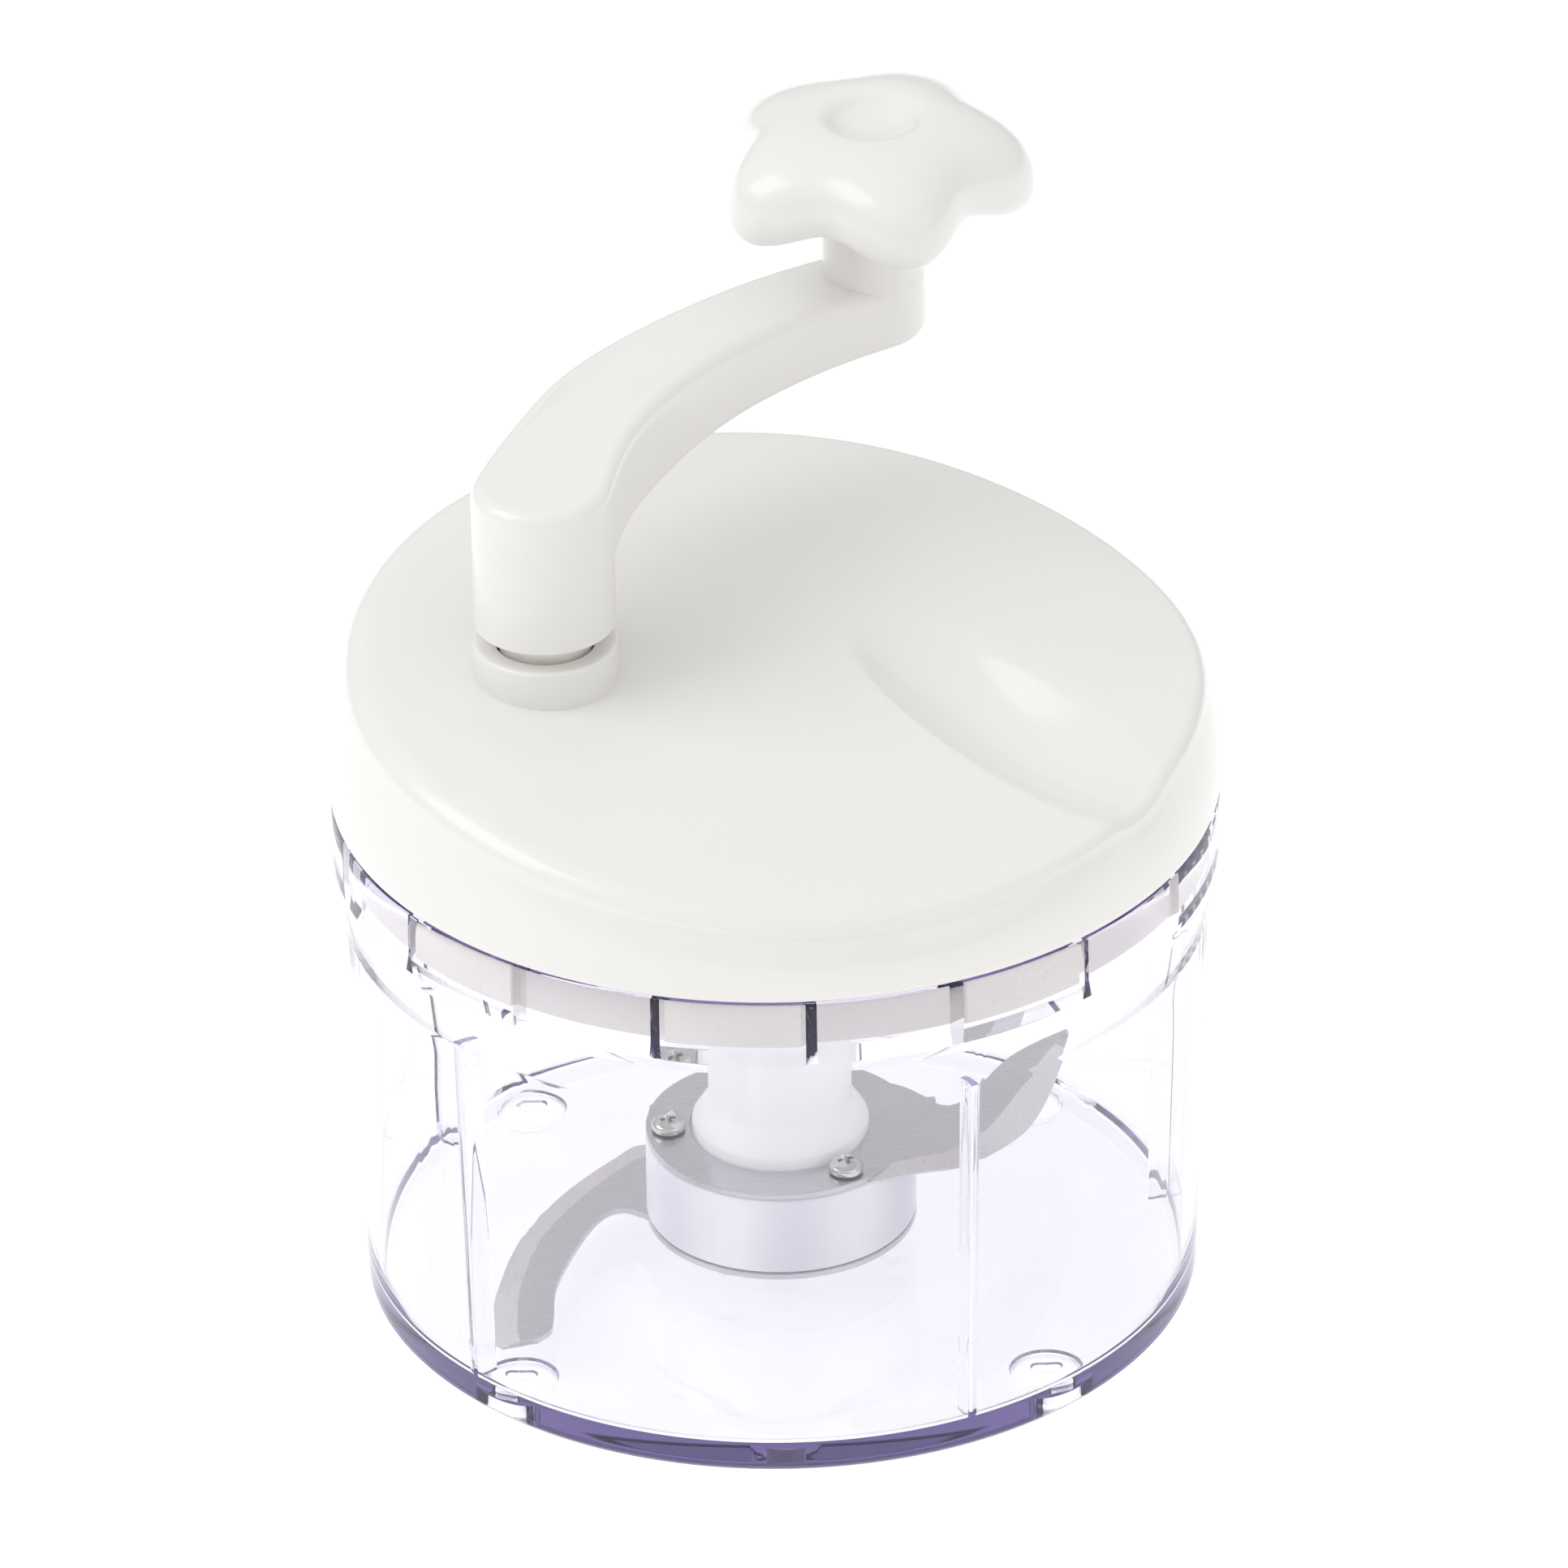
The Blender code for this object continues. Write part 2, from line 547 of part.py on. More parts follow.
def make_blade_holder(axis, natural):
    """Moulded tube and drum: an inner sleeve on the spindle, an outer tube and six screw posts."""
    sleeve, bore = 5.4, SPINDLE_RADIUS + 0.25
    profile = [(0.0, 75.0), (TUBE_RADIUS - 3.2, 75.0), (TUBE_RADIUS - 3.2, TUBE_TOP),
               (TUBE_RADIUS - 0.5, TUBE_TOP), (TUBE_RADIUS, TUBE_TOP - 0.5),
               (TUBE_RADIUS, DISC_TOP + 9.7), (TUBE_RADIUS + 0.6, DISC_TOP + 6.2),
               (FLARE_RADIUS - 0.4, DISC_TOP + 2.7),
               (FLARE_RADIUS, DISC_TOP), (DISC_RADIUS, DISC_TOP), (DISC_RADIUS, DISC_BOTTOM),
               (DISC_RADIUS - 1.8, DISC_BOTTOM), (DISC_RADIUS - 1.8, DISC_TOP - 2.0),
               (TUBE_RADIUS, DISC_TOP - 2.0), (TUBE_RADIUS, DISC_BOTTOM),
               (TUBE_RADIUS - 2.0, DISC_BOTTOM), (TUBE_RADIUS - 2.0, 62.0), (sleeve, 62.0),
               (sleeve, DISC_BOTTOM), (bore, DISC_BOTTOM), (bore, SPINDLE_TOP + 0.5),
               (0.0, SPINDLE_TOP + 0.5)]
    holder = turned("blade_holder", profile, axis, natural, 32)
    for i, bearing in enumerate(UPPER_SCREWS + LOWER_SCREWS):
        x, y = bearing_point(SCREW_CIRCLE, bearing)
        join(holder, cylinder(f"post_{i + 1}", 2.9, DISC_BOTTOM + 0.05, DISC_TOP - 1.0, axis,
                              x=x, y=y, sides=14))
    for i, bearing in enumerate(UPPER_SCREWS + LOWER_SCREWS):
        x, y = bearing_point(SCREW_CIRCLE, bearing)
        low, high = (12.5, 30.0) if i < len(UPPER_SCREWS) else (0.0, 19.0)
        cut(holder, cylinder(f"post_bore_{i + 1}", 1.5, low, high, axis, x=x, y=y, sides=12))
    cut(holder, cylinder("drive_socket", 6.6, 75.0 - 3.0, 90.0, axis, sides=6))


def blade_wing(name, edge_points, back_points, low, droop, axis):
    """Blade as a strip from its ground outer edge to its blunt back, thinned along the edge."""
    count = 15
    edge, back = smooth_curve(edge_points, count), smooth_curve(back_points, count)
    rings = []
    for e, b in zip(edge, back):
        grind = e.lerp(b, 0.40)
        ring = []
        for p, lift in ((e, 0.0), (b, 0.0), (b, BLADE_THICKNESS), (grind, BLADE_THICKNESS), (e, 0.3)):
            reach = max(0.0, p.length - DISC_RADIUS) / 36.0
            ring.append((p.x, p.y, low + lift - droop * reach ** 1.5))
        rings.append(ring)
    return skinned(name, rings, axis)


def make_blade(name, hole, low, screws, wing, axis, steel):
    plate = turned(name, [(hole, low + BLADE_THICKNESS), (DISC_RADIUS, low + BLADE_THICKNESS),
                          (DISC_RADIUS, low), (hole, low)], axis, steel, 40, ring=True)
    join(plate, wing)
    for i, bearing in enumerate(screws):
        x, y = bearing_point(SCREW_CIRCLE, bearing)
        cut(plate, cylinder(f"{name}_hole_{i + 1}", 1.7, low - 2.0, low + 3.0, axis,
                            x=x, y=y, sides=12))


def make_upper_blade(axis, steel):
    low = DISC_TOP + GAP
    edge = [(14.0, -15.8), (21.5, -14.2), (28.6, -12.4), (34.6, -7.4), (39.6, -0.6), (43.6, 10.0),
            (45.6, 19.0), (47.2, 27.4)]
    back = [(14.5, 12.4), (19.6, 11.0), (26.3, 4.8), (30.3, 7.9), (33.6, 13.6), (37.2, 19.6),
            (41.8, 24.2), (46.5, 27.7)]
    wing = blade_wing("upper_wing", edge, back, low + 0.01, 0.0, axis)
    make_blade("upper_blade", UPPER_BLADE_HOLE, low, UPPER_SCREWS, wing, axis, steel)


def make_lower_blade(axis, steel):
    low = DISC_BOTTOM - GAP - BLADE_THICKNESS
    edge = [(-11.0, 17.6), (-21.7, 20.0), (-26.5, 16.6), (-35.4, 4.9), (-41.8, -8.5), (-44.9, -23.0),
            (-45.4, -34.0), (-43.4, -39.0)]
    back = [(-13.0, -7.0), (-20.5, -3.2), (-25.4, -0.5), (-29.2, -3.4), (-32.9, -12.6), (-35.6, -23.0),
            (-35.9, -31.0), (-37.0, -36.6)]
    wing = blade_wing("lower_wing", edge, back, low + 0.01, 1.4, axis)
    make_blade("lower_blade", LOWER_BLADE_HOLE, low, LOWER_SCREWS, wing, axis, steel)


def make_screw(name, axis, steel, head_radius, shank_radius, seat, head_height, length,
               upward=True, x=0.0, y=0.0):
    """Pan-head cross screw; seat is the height of the underside of its head."""
    s = 1.0 if upward else -1.0
    profile = [(0.0, seat + s * head_height), (head_radius * 0.6, seat + s * head_height),
               (head_radius, seat + s * head_height * 0.45), (head_radius, seat),
               (shank_radius, seat), (shank_radius, seat - s * length), (0.0, seat - s * length)]
    if not upward:
        profile.reverse()
    screw = turned(name, profile, axis, steel, 12)
    screw.location = (x * MM, y * MM, 0.0)
    top = seat + s * head_height
    for turn in (0.0, 90.0):
        slot = slot_cutter(f"{name}_slot_{int(turn)}", head_radius * 1.1, 0.7, 1.8, axis)
        slot.location = (x * MM, y * MM, top * MM)
        slot.rotation_euler.z = radians(turn + 20.0)
        cut(screw, slot)


def slot_cutter(name, length, width, height, parent):
    bm = bmesh.new()
    bmesh.ops.create_cube(bm, size=1.0)
    bmesh.ops.scale(bm, vec=(length * MM, width * MM, height * MM), verts=bm.verts)
    return place(name, to_mesh(name, bm, smooth=False), parent)


def make_blade_screws(axis, steel):
    upper_seat = DISC_TOP + 2 * GAP + BLADE_THICKNESS
    lower_seat = DISC_BOTTOM - 2 * GAP - BLADE_THICKNESS
    for i, bearing in enumerate(UPPER_SCREWS):
        x, y = bearing_point(SCREW_CIRCLE, bearing)
        make_screw(f"upper_screw_{i + 1}", axis, steel, 2.75, 1.2, upper_seat, 2.0, 9.0, True, x, y)
    for i, bearing in enumerate(LOWER_SCREWS):
        x, y = bearing_point(SCREW_CIRCLE, bearing)
        make_screw(f"lower_screw_{i + 1}", axis, steel, 2.4, 1.2, lower_seat, 1.4, 9.0, False, x, y)


# ---------------------------------------------------------------- assembly

def main():
    clear_scene()
    clear = material("clear_plastic", (0.90, 0.90, 0.97), 0.03, transmission=1.0)
    soft_clear = material("clear_foot", (0.88, 0.88, 0.93), 0.15, transmission=1.0)
    white = material("white_plastic", (0.91, 0.90, 0.87), 0.22)
    inner_white = material("inner_white", (0.88, 0.87, 0.84), 0.35)
    gear_mat = material("gear_plastic", (0.86, 0.86, 0.84), 0.45)
    natural = material("natural_plastic", (0.84, 0.86, 0.90), 0.30, transmission=0.4)
    bush_mat = material("bush_plastic", (0.80, 0.76, 0.68), 0.40)
    steel = material("steel", (0.62, 0.61, 0.61), 0.28, metallic=1.0)
    blade_steel = material("blade_steel", (0.60, 0.60, 0.62), 0.24, metallic=1.0)

    bowl_frame = axis_empty("bowl_frame", 0.0, 0.0)
    lid_frame = axis_empty("lid_frame", 0.0, 0.0, bowl_frame)
    crank_axis = axis_empty("crank_axis", *CRANK_AXIS, lid_frame)
    knob_axis = axis_empty("knob_axis", *KNOB_AXIS, crank_axis)
    pinion_axis = axis_empty("pinion_axis", 0.0, 0.0, lid_frame)
    blade_axis = axis_empty("blade_axis", 0.0, 0.0, bowl_frame)

    make_bowl(bowl_frame, clear)
    for i, (x, y) in enumerate(foot_places()):
        make_foot(i, x, y, bowl_frame, soft_clear)
    make_spindle(bowl_frame, steel)

    make_lid_shell(lid_frame, white)
    make_gear_cover(lid_frame, inner_white)
    for i, (x, y) in enumerate(COVER_SCREWS):
        make_screw(f"cover_screw_{i + 1}", lid_frame, steel, 2.6, 1.2,
                   COVER_TOP - COVER_THICKNESS - GAP, 1.8, 7.0, False, x, y)
    bush_frame = axis_empty("bush_frame", *CRANK_AXIS, lid_frame)
    make_shaft_bush(bush_frame, bush_mat)

    make_crank_arm(crank_axis, white)
    make_crank_shaft(crank_axis, steel)
    make_shaft_sleeve(crank_axis, steel)
    make_drive_gear(crank_axis, gear_mat)
    make_gear_fixing(crank_axis, steel)
    make_knob_pin(crank_axis, steel)
    make_knob(knob_axis, white)

    make_pinion(pinion_axis, gear_mat)

    make_blade_holder(blade_axis, natural)
    make_upper_blade(blade_axis, blade_steel)
    make_lower_blade(blade_axis, blade_steel)
    make_blade_screws(blade_axis, steel)


main()
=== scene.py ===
"""Looks of the hand-crank food processor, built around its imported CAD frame.

Lengths are millimetres in the frame's axes until MM turns them into metres. A bearing is an angle about
+Z, in degrees, that starts at the front (-Y) and grows towards +X. A shape is a pair: points and faces.
"""
import json
from math import acos, cos, hypot, pi, radians, sin, tan

import bmesh
import bpy
import numpy as np
from mathutils import Matrix, Vector


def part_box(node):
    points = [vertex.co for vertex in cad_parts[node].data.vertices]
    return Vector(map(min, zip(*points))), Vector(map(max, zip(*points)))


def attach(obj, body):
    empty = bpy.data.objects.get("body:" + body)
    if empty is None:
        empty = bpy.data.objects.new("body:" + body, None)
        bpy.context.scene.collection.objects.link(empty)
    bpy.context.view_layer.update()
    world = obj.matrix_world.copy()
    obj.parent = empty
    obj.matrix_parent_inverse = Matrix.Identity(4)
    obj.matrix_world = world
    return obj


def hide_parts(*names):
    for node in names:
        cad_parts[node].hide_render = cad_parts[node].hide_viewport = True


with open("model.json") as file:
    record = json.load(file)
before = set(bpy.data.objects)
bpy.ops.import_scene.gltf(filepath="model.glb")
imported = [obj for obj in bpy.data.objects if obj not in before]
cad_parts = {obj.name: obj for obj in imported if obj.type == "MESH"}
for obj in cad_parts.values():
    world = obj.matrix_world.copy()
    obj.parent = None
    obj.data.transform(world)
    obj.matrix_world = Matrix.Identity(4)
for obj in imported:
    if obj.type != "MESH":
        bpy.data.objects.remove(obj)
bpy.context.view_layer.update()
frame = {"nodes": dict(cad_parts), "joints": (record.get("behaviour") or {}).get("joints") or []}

MM = 0.001
JOINTS = {joint["name"]: joint for joint in frame["joints"]}


def axis_of(joint):
    x, y, _ = JOINTS[joint]["pos_m"]
    return x / MM, y / MM


def low(node):
    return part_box(node)[0].z / MM


def high(node):
    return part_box(node)[1].z / MM


# Bowl, all of it turned about the frame's +Z
RIM_TOP = high("bowl")
RIM_RADIUS = 70.0
BASE_RADIUS = 66.2
UNDERSIDE = low("bowl")
FLOOR_TOP = 4.7
FLOOR_ROUND = 1.8  # between floor and wall
WALL = 2.4
WALL_DRAFT = 0.032  # growth of the wall's radius for each millimetre of height
FLARE_BOTTOM = 67.0  # the wall turns outwards here
FLARE_TOP = 76.4  # and reaches the rim's radius here
FLARE_BEND = 1.6  # height over which it turns
INNER_BEND_SHIFT = 0.85  # how much lower the inside turns, which keeps the wall even in the flare
SEAT_HEIGHT = 79.0  # floor of the pockets
SKIRT_BORE = 66.4
POCKET_RADIUS = 68.4
POCKET_COUNT = 9
POCKET_WIDTH = 22.0
FIRST_POCKET = -17.0  # bearing of one pocket's left side
POCKET_CHAMFER = 1.53  # degrees that a pocket's slanting side takes up
RIB_BEARINGS = (27.0, 98.5, 170.0, 241.5, 311.5)
RIB_HEIGHT = 4.0
RIB_TOP = 67.2
RIB_EDGE = ((0.0, 1.0), (0.46, 0.995), (0.55, 0.93), (0.60, 0.5), (0.66, 0.06), (0.75, 0.0))
RIB_RADIUS = 62.0  # where RIB_EDGE gives the share of a rib's height at a distance from its middle
FOOT_RADIUS = 5.5
FOOT_OFFSET = 40.8
FOOT_PLACES = [(sx * FOOT_OFFSET, sy * FOOT_OFFSET) for sx in (-1, 1) for sy in (-1, 1)]
FOOT_MARK = 1.4  # half the straight part of the oval mark on a foot
SPINDLE_RADIUS = 3.0
SPINDLE_TOP = 60.0

# Lid
LID_BOTTOM = RIM_TOP + 0.3
LID_RADIUS = 70.2
LID_SHOULDER = 68.0
LID_WALL = 2.4
SKIRT_RADIUS = 66.0
SKIRT_INNER = 63.8
SKIRT_BOTTOM = low("lid_shell")
TOOTH_RADIUS = 68.0
TOOTH_GAP = 0.6  # degrees between a tooth's side and its pocket's
CROWN = 108.6  # height of the lid's slanted top over the bowl's axis
CROWN_RISE = 1.6

# Crank and knob
CRANK_AXIS = axis_of("crank_turn")
KNOB_AXIS = axis_of("knob_spin")
SHAFT_BORE = 4.25
BOSS_RADIUS = 11.4
BOSS_TOP = high("lid_shell")
BOSS_FOOT = 106.0
BOSS_WELL_RADIUS = 7.7  # round hollow in the boss's top, where the sleeve turns
BOSS_WELL_FLOOR = 111.6
BUSH_RADIUS = 6.5
HUB_RADIUS = 11.2
HUB_BOTTOM = low("crank_arm") - 1.9  # a little lower than the plain hub of the CAD
SLEEVE_RADIUS = 7.2
ARM_TOP = 148.0
ARM_ROOT_BOTTOM = 131.0
ARM_END_BOTTOM = 137.6
ARM_DIP = 3.2  # how far the arm's top slopes down to the hub's front
DIP_FRONT = -0.14  # the hub's front, as a share of the way from the crank's axis to the knob's
DIP_RUN = 0.5  # share of the way over which the top rises again
ARM_SAGITTA = 9.3
STEM_RADIUS = 8.2
ARM_HALF_WIDTHS = ((0.0, HUB_RADIUS), (0.05, 10.9), (0.12, 10.3), (0.2, 9.8), (0.35, 9.4), (0.6, 8.4),
                   (0.8, 8.2), (1.0, STEM_RADIUS))
STEM_TOP = high("crank_arm")
KNOB_TOP = high("knob")
PIN_TOP = high("knob_pin")

# Blade unit
TUBE_RADIUS = 11.4
FLARE_RADIUS = 14.1
DRUM_RADIUS = 21.5
DRUM_BOTTOM = low("blade_holder")
DRUM_TOP = low("upper_blade") - 0.3
BLADE_THICKNESS = 1.0
SCREW_CIRCLE = 17.9
UPPER_SCREWS = (-85.0, 35.0, 155.0)
LOWER_SCREWS = (-28.0, 92.0, 212.0)


# ---------------------------------------------------------------- plane geometry

def bearing_point(radius, bearing):
    return radius * sin(radians(bearing)), -radius * cos(radians(bearing))


def circle(radius, z, steps=96, x=0.0, y=0.0):
    return [(x + radius * cos(2 * pi * i / steps), y + radius * sin(2 * pi * i / steps), z)
            for i in range(steps)]


def smooth_curve(points, count):
    """Evenly counted points on a Catmull-Rom curve through a few points of any dimension."""
    p = np.array(points, float)
    p = np.vstack([2 * p[0] - p[1], p, 2 * p[-1] - p[-2]])
    spans = len(points) - 1
    result = []
    for s in np.linspace(0.0, spans, count):
        i = min(int(s), spans - 1)
        t = s - i
        a, b, c, d = p[i:i + 4]
        result.append(0.5 * (2 * b + (c - a) * t + (2 * a - 5 * b + 4 * c - d) * t ** 2
                             + (3 * b - a - 3 * c + d) * t ** 3))
    return result


def rounded(corners, steps=5, closed=False):
    """Profile through corners, each (r, z) or (r, z, rounding radius)."""
    result = []
    count = len(corners)
    for i, corner in enumerate(corners):
        p = Vector(corner[:2])
        if len(corner) == 2 or (not closed and i in (0, count - 1)):
            result.append(p)
            continue
        a = (Vector(corners[i - 1][:2]) - p).normalized()
        b = (Vector(corners[(i + 1) % count][:2]) - p).normalized()
        half = a.angle(b) / 2
        centre = p + (a + b).normalized() * (corner[2] / sin(half))
        u = p + a * (corner[2] / tan(half)) - centre
        v = p + b * (corner[2] / tan(half)) - centre
        sweep = u.angle(v)
        for k in range(steps + 1):
            t = k / steps
            result.append(centre + (u * sin((1 - t) * sweep) + v * sin(t * sweep)) / sin(sweep))
    return result


# ---------------------------------------------------------------- shapes

def skin(rings, loop=False):
    """Shape over rings of equally many points. A ring of one point is a pole; open ends are capped."""
    points, faces, starts = [], [], []
    for ring in rings:
        starts.append(len(points))
        points.extend(ring)
    last = len(rings) - 1
    pairs = [(k, k + 1) for k in range(last)] + ([(last, 0)] if loop else [])
    for a, b in pairs:
        count_a, count_b = len(rings[a]), len(rings[b])
        count = max(count_a, count_b)
        for i in range(count):
            j = (i + 1) % count
            quad = (starts[a] + i % count_a, starts[a] + j % count_a,
                    starts[b] + j % count_b, starts[b] + i % count_b)
            faces.append(list(dict.fromkeys(quad)))
    if not loop:
        for k in (0, last):
            if len(rings[k]) > 1:
                faces.append(list(range(starts[k], starts[k] + len(rings[k]))))
    return points, faces


def turned(profile, steps=96, x=0.0, y=0.0, loop=False):
    rings = [[(x, y, z)] if r < 1e-6 else circle(r, z, steps, x, y) for r, z in profile]
    return skin(rings, loop)


def prism(outline, bottom, top):
    return skin([[(x, y, z) for x, y in outline] for z in (bottom, top)])


def capsule(half_run, radius, x, y):
    """Outline with two round ends, along X."""
    ends = [(side, radians(first + angle)) for side, first in ((1, -90), (-1, 90))
            for angle in range(0, 181, 15)]
    return [(x + side * half_run + radius * cos(a), y + radius * sin(a)) for side, a in ends]


def cylinder(radius, bottom, top, x=0.0, y=0.0, steps=48):
    return skin([circle(radius, bottom, steps, x, y), circle(radius, top, steps, x, y)])


def together(*shapes):
    points, faces = [], []
    for more_points, more_faces in shapes:
        faces += [[i + len(points) for i in face] for face in more_faces]
        points += list(more_points)
    return points, faces


def to_mesh(name, shape):
    points, faces = shape
    mesh = bpy.data.meshes.new(name)
    mesh.from_pydata([Vector(p) * MM for p in points], [], faces)
    bm = bmesh.new()
    bm.from_mesh(mesh)
    bmesh.ops.recalc_face_normals(bm, faces=bm.faces)
    bm.to_mesh(mesh)
    bm.free()
    return mesh


def to_object(name, shape):
    obj = bpy.data.objects.new(name, to_mesh(name, shape))
    bpy.context.scene.collection.objects.link(obj)
    return obj


def carve(obj, operation, *shapes):
    """Applies an exact Boolean with each shape in turn."""
    for shape in shapes:
        other = to_object("other", shape)
        step = obj.modifiers.new("Boolean", "BOOLEAN")
        step.operation, step.solver, step.object = operation, "EXACT", other
        made = bpy.data.meshes.new_from_object(obj.evaluated_get(bpy.context.evaluated_depsgraph_get()))
        obj.modifiers.clear()
        made.name = obj.name
        obj.data = made
        bpy.data.objects.remove(other, do_unlink=True)
    return obj


def finish_piece(obj, body, nodes, mat, sharp=32.0):
    """Shades a piece, puts it on its body and hides the CAD parts that it stands in for."""
    mesh = obj.data
    mesh.materials.clear()
    mesh.materials.append(mat)
    mesh.shade_smooth()
    mesh.set_sharp_from_angle(angle=radians(sharp))
    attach(obj, body)
    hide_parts(*nodes)
    return obj


def second_material(obj, mat, chosen):
    """Gives a second material to the faces that the rule picks."""
    obj.data.materials.append(mat)
    for face in obj.data.polygons:
        if chosen(face):
            face.material_index = 1


# ---------------------------------------------------------------- materials

def new_material(name, color, roughness, metallic=0.0, **uniform):
    """Material with a Principled shader; uniform values go straight on the shader's sockets."""
    mat = bpy.data.materials.new(name)
    mat.use_nodes = True
    shader = mat.node_tree.nodes["Principled BSDF"]
    values = {"Base Color": (*color, 1.0), "Roughness": roughness, "Metallic": metallic}
    values.update({key.replace("_", " ").title().replace("Ior", "IOR"): value
                   for key, value in uniform.items()})
    for socket, value in values.items():
        shader.inputs[socket].default_value = value
    return mat


def node(owner, kind, inputs=None, **settings):
    """New shader node in a material's or the world's tree."""
    made = owner.node_tree.nodes.new(kind)
    for key, value in settings.items():
        setattr(made, key, value)
    for key, value in (inputs or {}).items():
        made.inputs[key].default_value = value
    return made


def link(owner, source, output, target, socket):
    owner.node_tree.links.new(source.outputs[output], target.inputs[socket])


def drive(mat, source, output, socket):
    link(mat, source, output, mat.node_tree.nodes["Principled BSDF"], socket)


def noise(mat, scale, detail=3.0, stretch=(1.0, 1.0, 1.0)):
    """Noise in the piece's own coordinates, in metres, stretched along an axis."""
    where = node(mat, "ShaderNodeTexCoord")
    mapping = node(mat, "ShaderNodeMapping", {"Scale": stretch})
    texture = node(mat, "ShaderNodeTexNoise", {"Scale": scale, "Detail": detail, "Roughness": 0.55})
    link(mat, where, "Object", mapping, "Vector")
    link(mat, mapping, "Vector", texture, "Vector")
    return texture


def vary_color(mat, texture, dark, light, low_end=0.3, high_end=0.7):
    ramp = node(mat, "ShaderNodeValToRGB")
    ramp.color_ramp.elements[0].position, ramp.color_ramp.elements[0].color = low_end, (*dark, 1.0)
    ramp.color_ramp.elements[1].position, ramp.color_ramp.elements[1].color = high_end, (*light, 1.0)
    link(mat, texture, "Fac", ramp, "Fac")
    drive(mat, ramp, "Color", "Base Color")


def vary_roughness(mat, texture, smooth, rough):
    spread = node(mat, "ShaderNodeMapRange", {"From Min": 0.3, "From Max": 0.7, "To Min": smooth,
                                              "To Max": rough})
    link(mat, texture, "Fac", spread, "Value")
    drive(mat, spread, "Result", "Roughness")


def add_bump(mat, texture, height, strength=0.5):
    bump = node(mat, "ShaderNodeBump", {"Strength": strength, "Distance": height * MM})
    link(mat, texture, "Fac", bump, "Height")
    drive(mat, bump, "Normal", "Normal")


def moulded_plastic(name, tone, roughness, warmth=0.985, **uniform):
    """Glossy moulding: faint flow variation in its tone and a very slight unevenness of its gloss."""
    mat = new_material(name, tone, roughness, **uniform)
    shade = tuple(c * warmth * k for c, k in zip(tone, (1.0, 0.995, 0.985)))
    flow = noise(mat, 18.0, 2.0)
    vary_color(mat, flow, shade, tone)
    vary_roughness(mat, noise(mat, 90.0, 4.0), roughness * 0.85, roughness * 1.2)
    add_bump(mat, noise(mat, 240.0, 2.0), 0.01, 0.25)
    return mat


def painted_post_light(mat, posts, turn, dark, light):
    """Painted see-through light: paler columns on a round wall where evenly spaced posts stand behind it,
    darker bands between.
    """
    where = node(mat, "ShaderNodeTexCoord")
    axes = node(mat, "ShaderNodeSeparateXYZ")
    angle = node(mat, "ShaderNodeMath", operation="ARCTAN2")
    phase = node(mat, "ShaderNodeMath", {1: posts, 2: -radians(turn) * posts}, operation="MULTIPLY_ADD")
    wave = node(mat, "ShaderNodeMath", operation="COSINE")
    share = node(mat, "ShaderNodeMath", {1: 0.5, 2: 0.5}, operation="MULTIPLY_ADD")
    ramp = node(mat, "ShaderNodeValToRGB")
    ramp.color_ramp.elements[0].color = (*dark, 1.0)
    ramp.color_ramp.elements[1].color = (*light, 1.0)
    link(mat, where, "Object", axes, "Vector")
    link(mat, axes, "Y", angle, 0)
    link(mat, axes, "X", angle, 1)
    link(mat, angle, 0, phase, 0)
    link(mat, phase, 0, wave, 0)
    link(mat, wave, 0, share, 0)
    link(mat, share, 0, ramp, "Fac")
    drive(mat, ramp, "Color", "Base Color")
    return mat


def clear_plastic(name, roughness, density, tint):
    """Clear moulding that takes up a little red and green light along its depth."""
    mat = new_material(name, (0.99, 0.99, 1.0), roughness, transmission_weight=1.0, ior=1.54)
    haze = noise(mat, 60.0, 3.0)
    vary_color(mat, haze, (0.975, 0.975, 0.99), (0.995, 0.995, 1.0))
    vary_roughness(mat, haze, roughness * 0.4, roughness * 1.6)
    inside = node(mat, "ShaderNodeVolumeAbsorption", {"Color": (*tint, 1.0), "Density": density})
    link(mat, inside, "Volume", mat.node_tree.nodes["Material Output"], "Volume")
    return mat


def brushed_metal(name, tone, roughness, stretch, grain=900.0):
    """Ground steel: fine lines in its tone, gloss and surface along one direction."""
    mat = new_material(name, tone, roughness, metallic=1.0)
    lines = noise(mat, grain, 3.0, stretch)
    vary_color(mat, lines, tuple(c * 0.95 for c in tone), tone)
    vary_roughness(mat, lines, roughness * 0.85, roughness * 1.2)
    add_bump(mat, lines, 0.004, 0.3)
    return mat


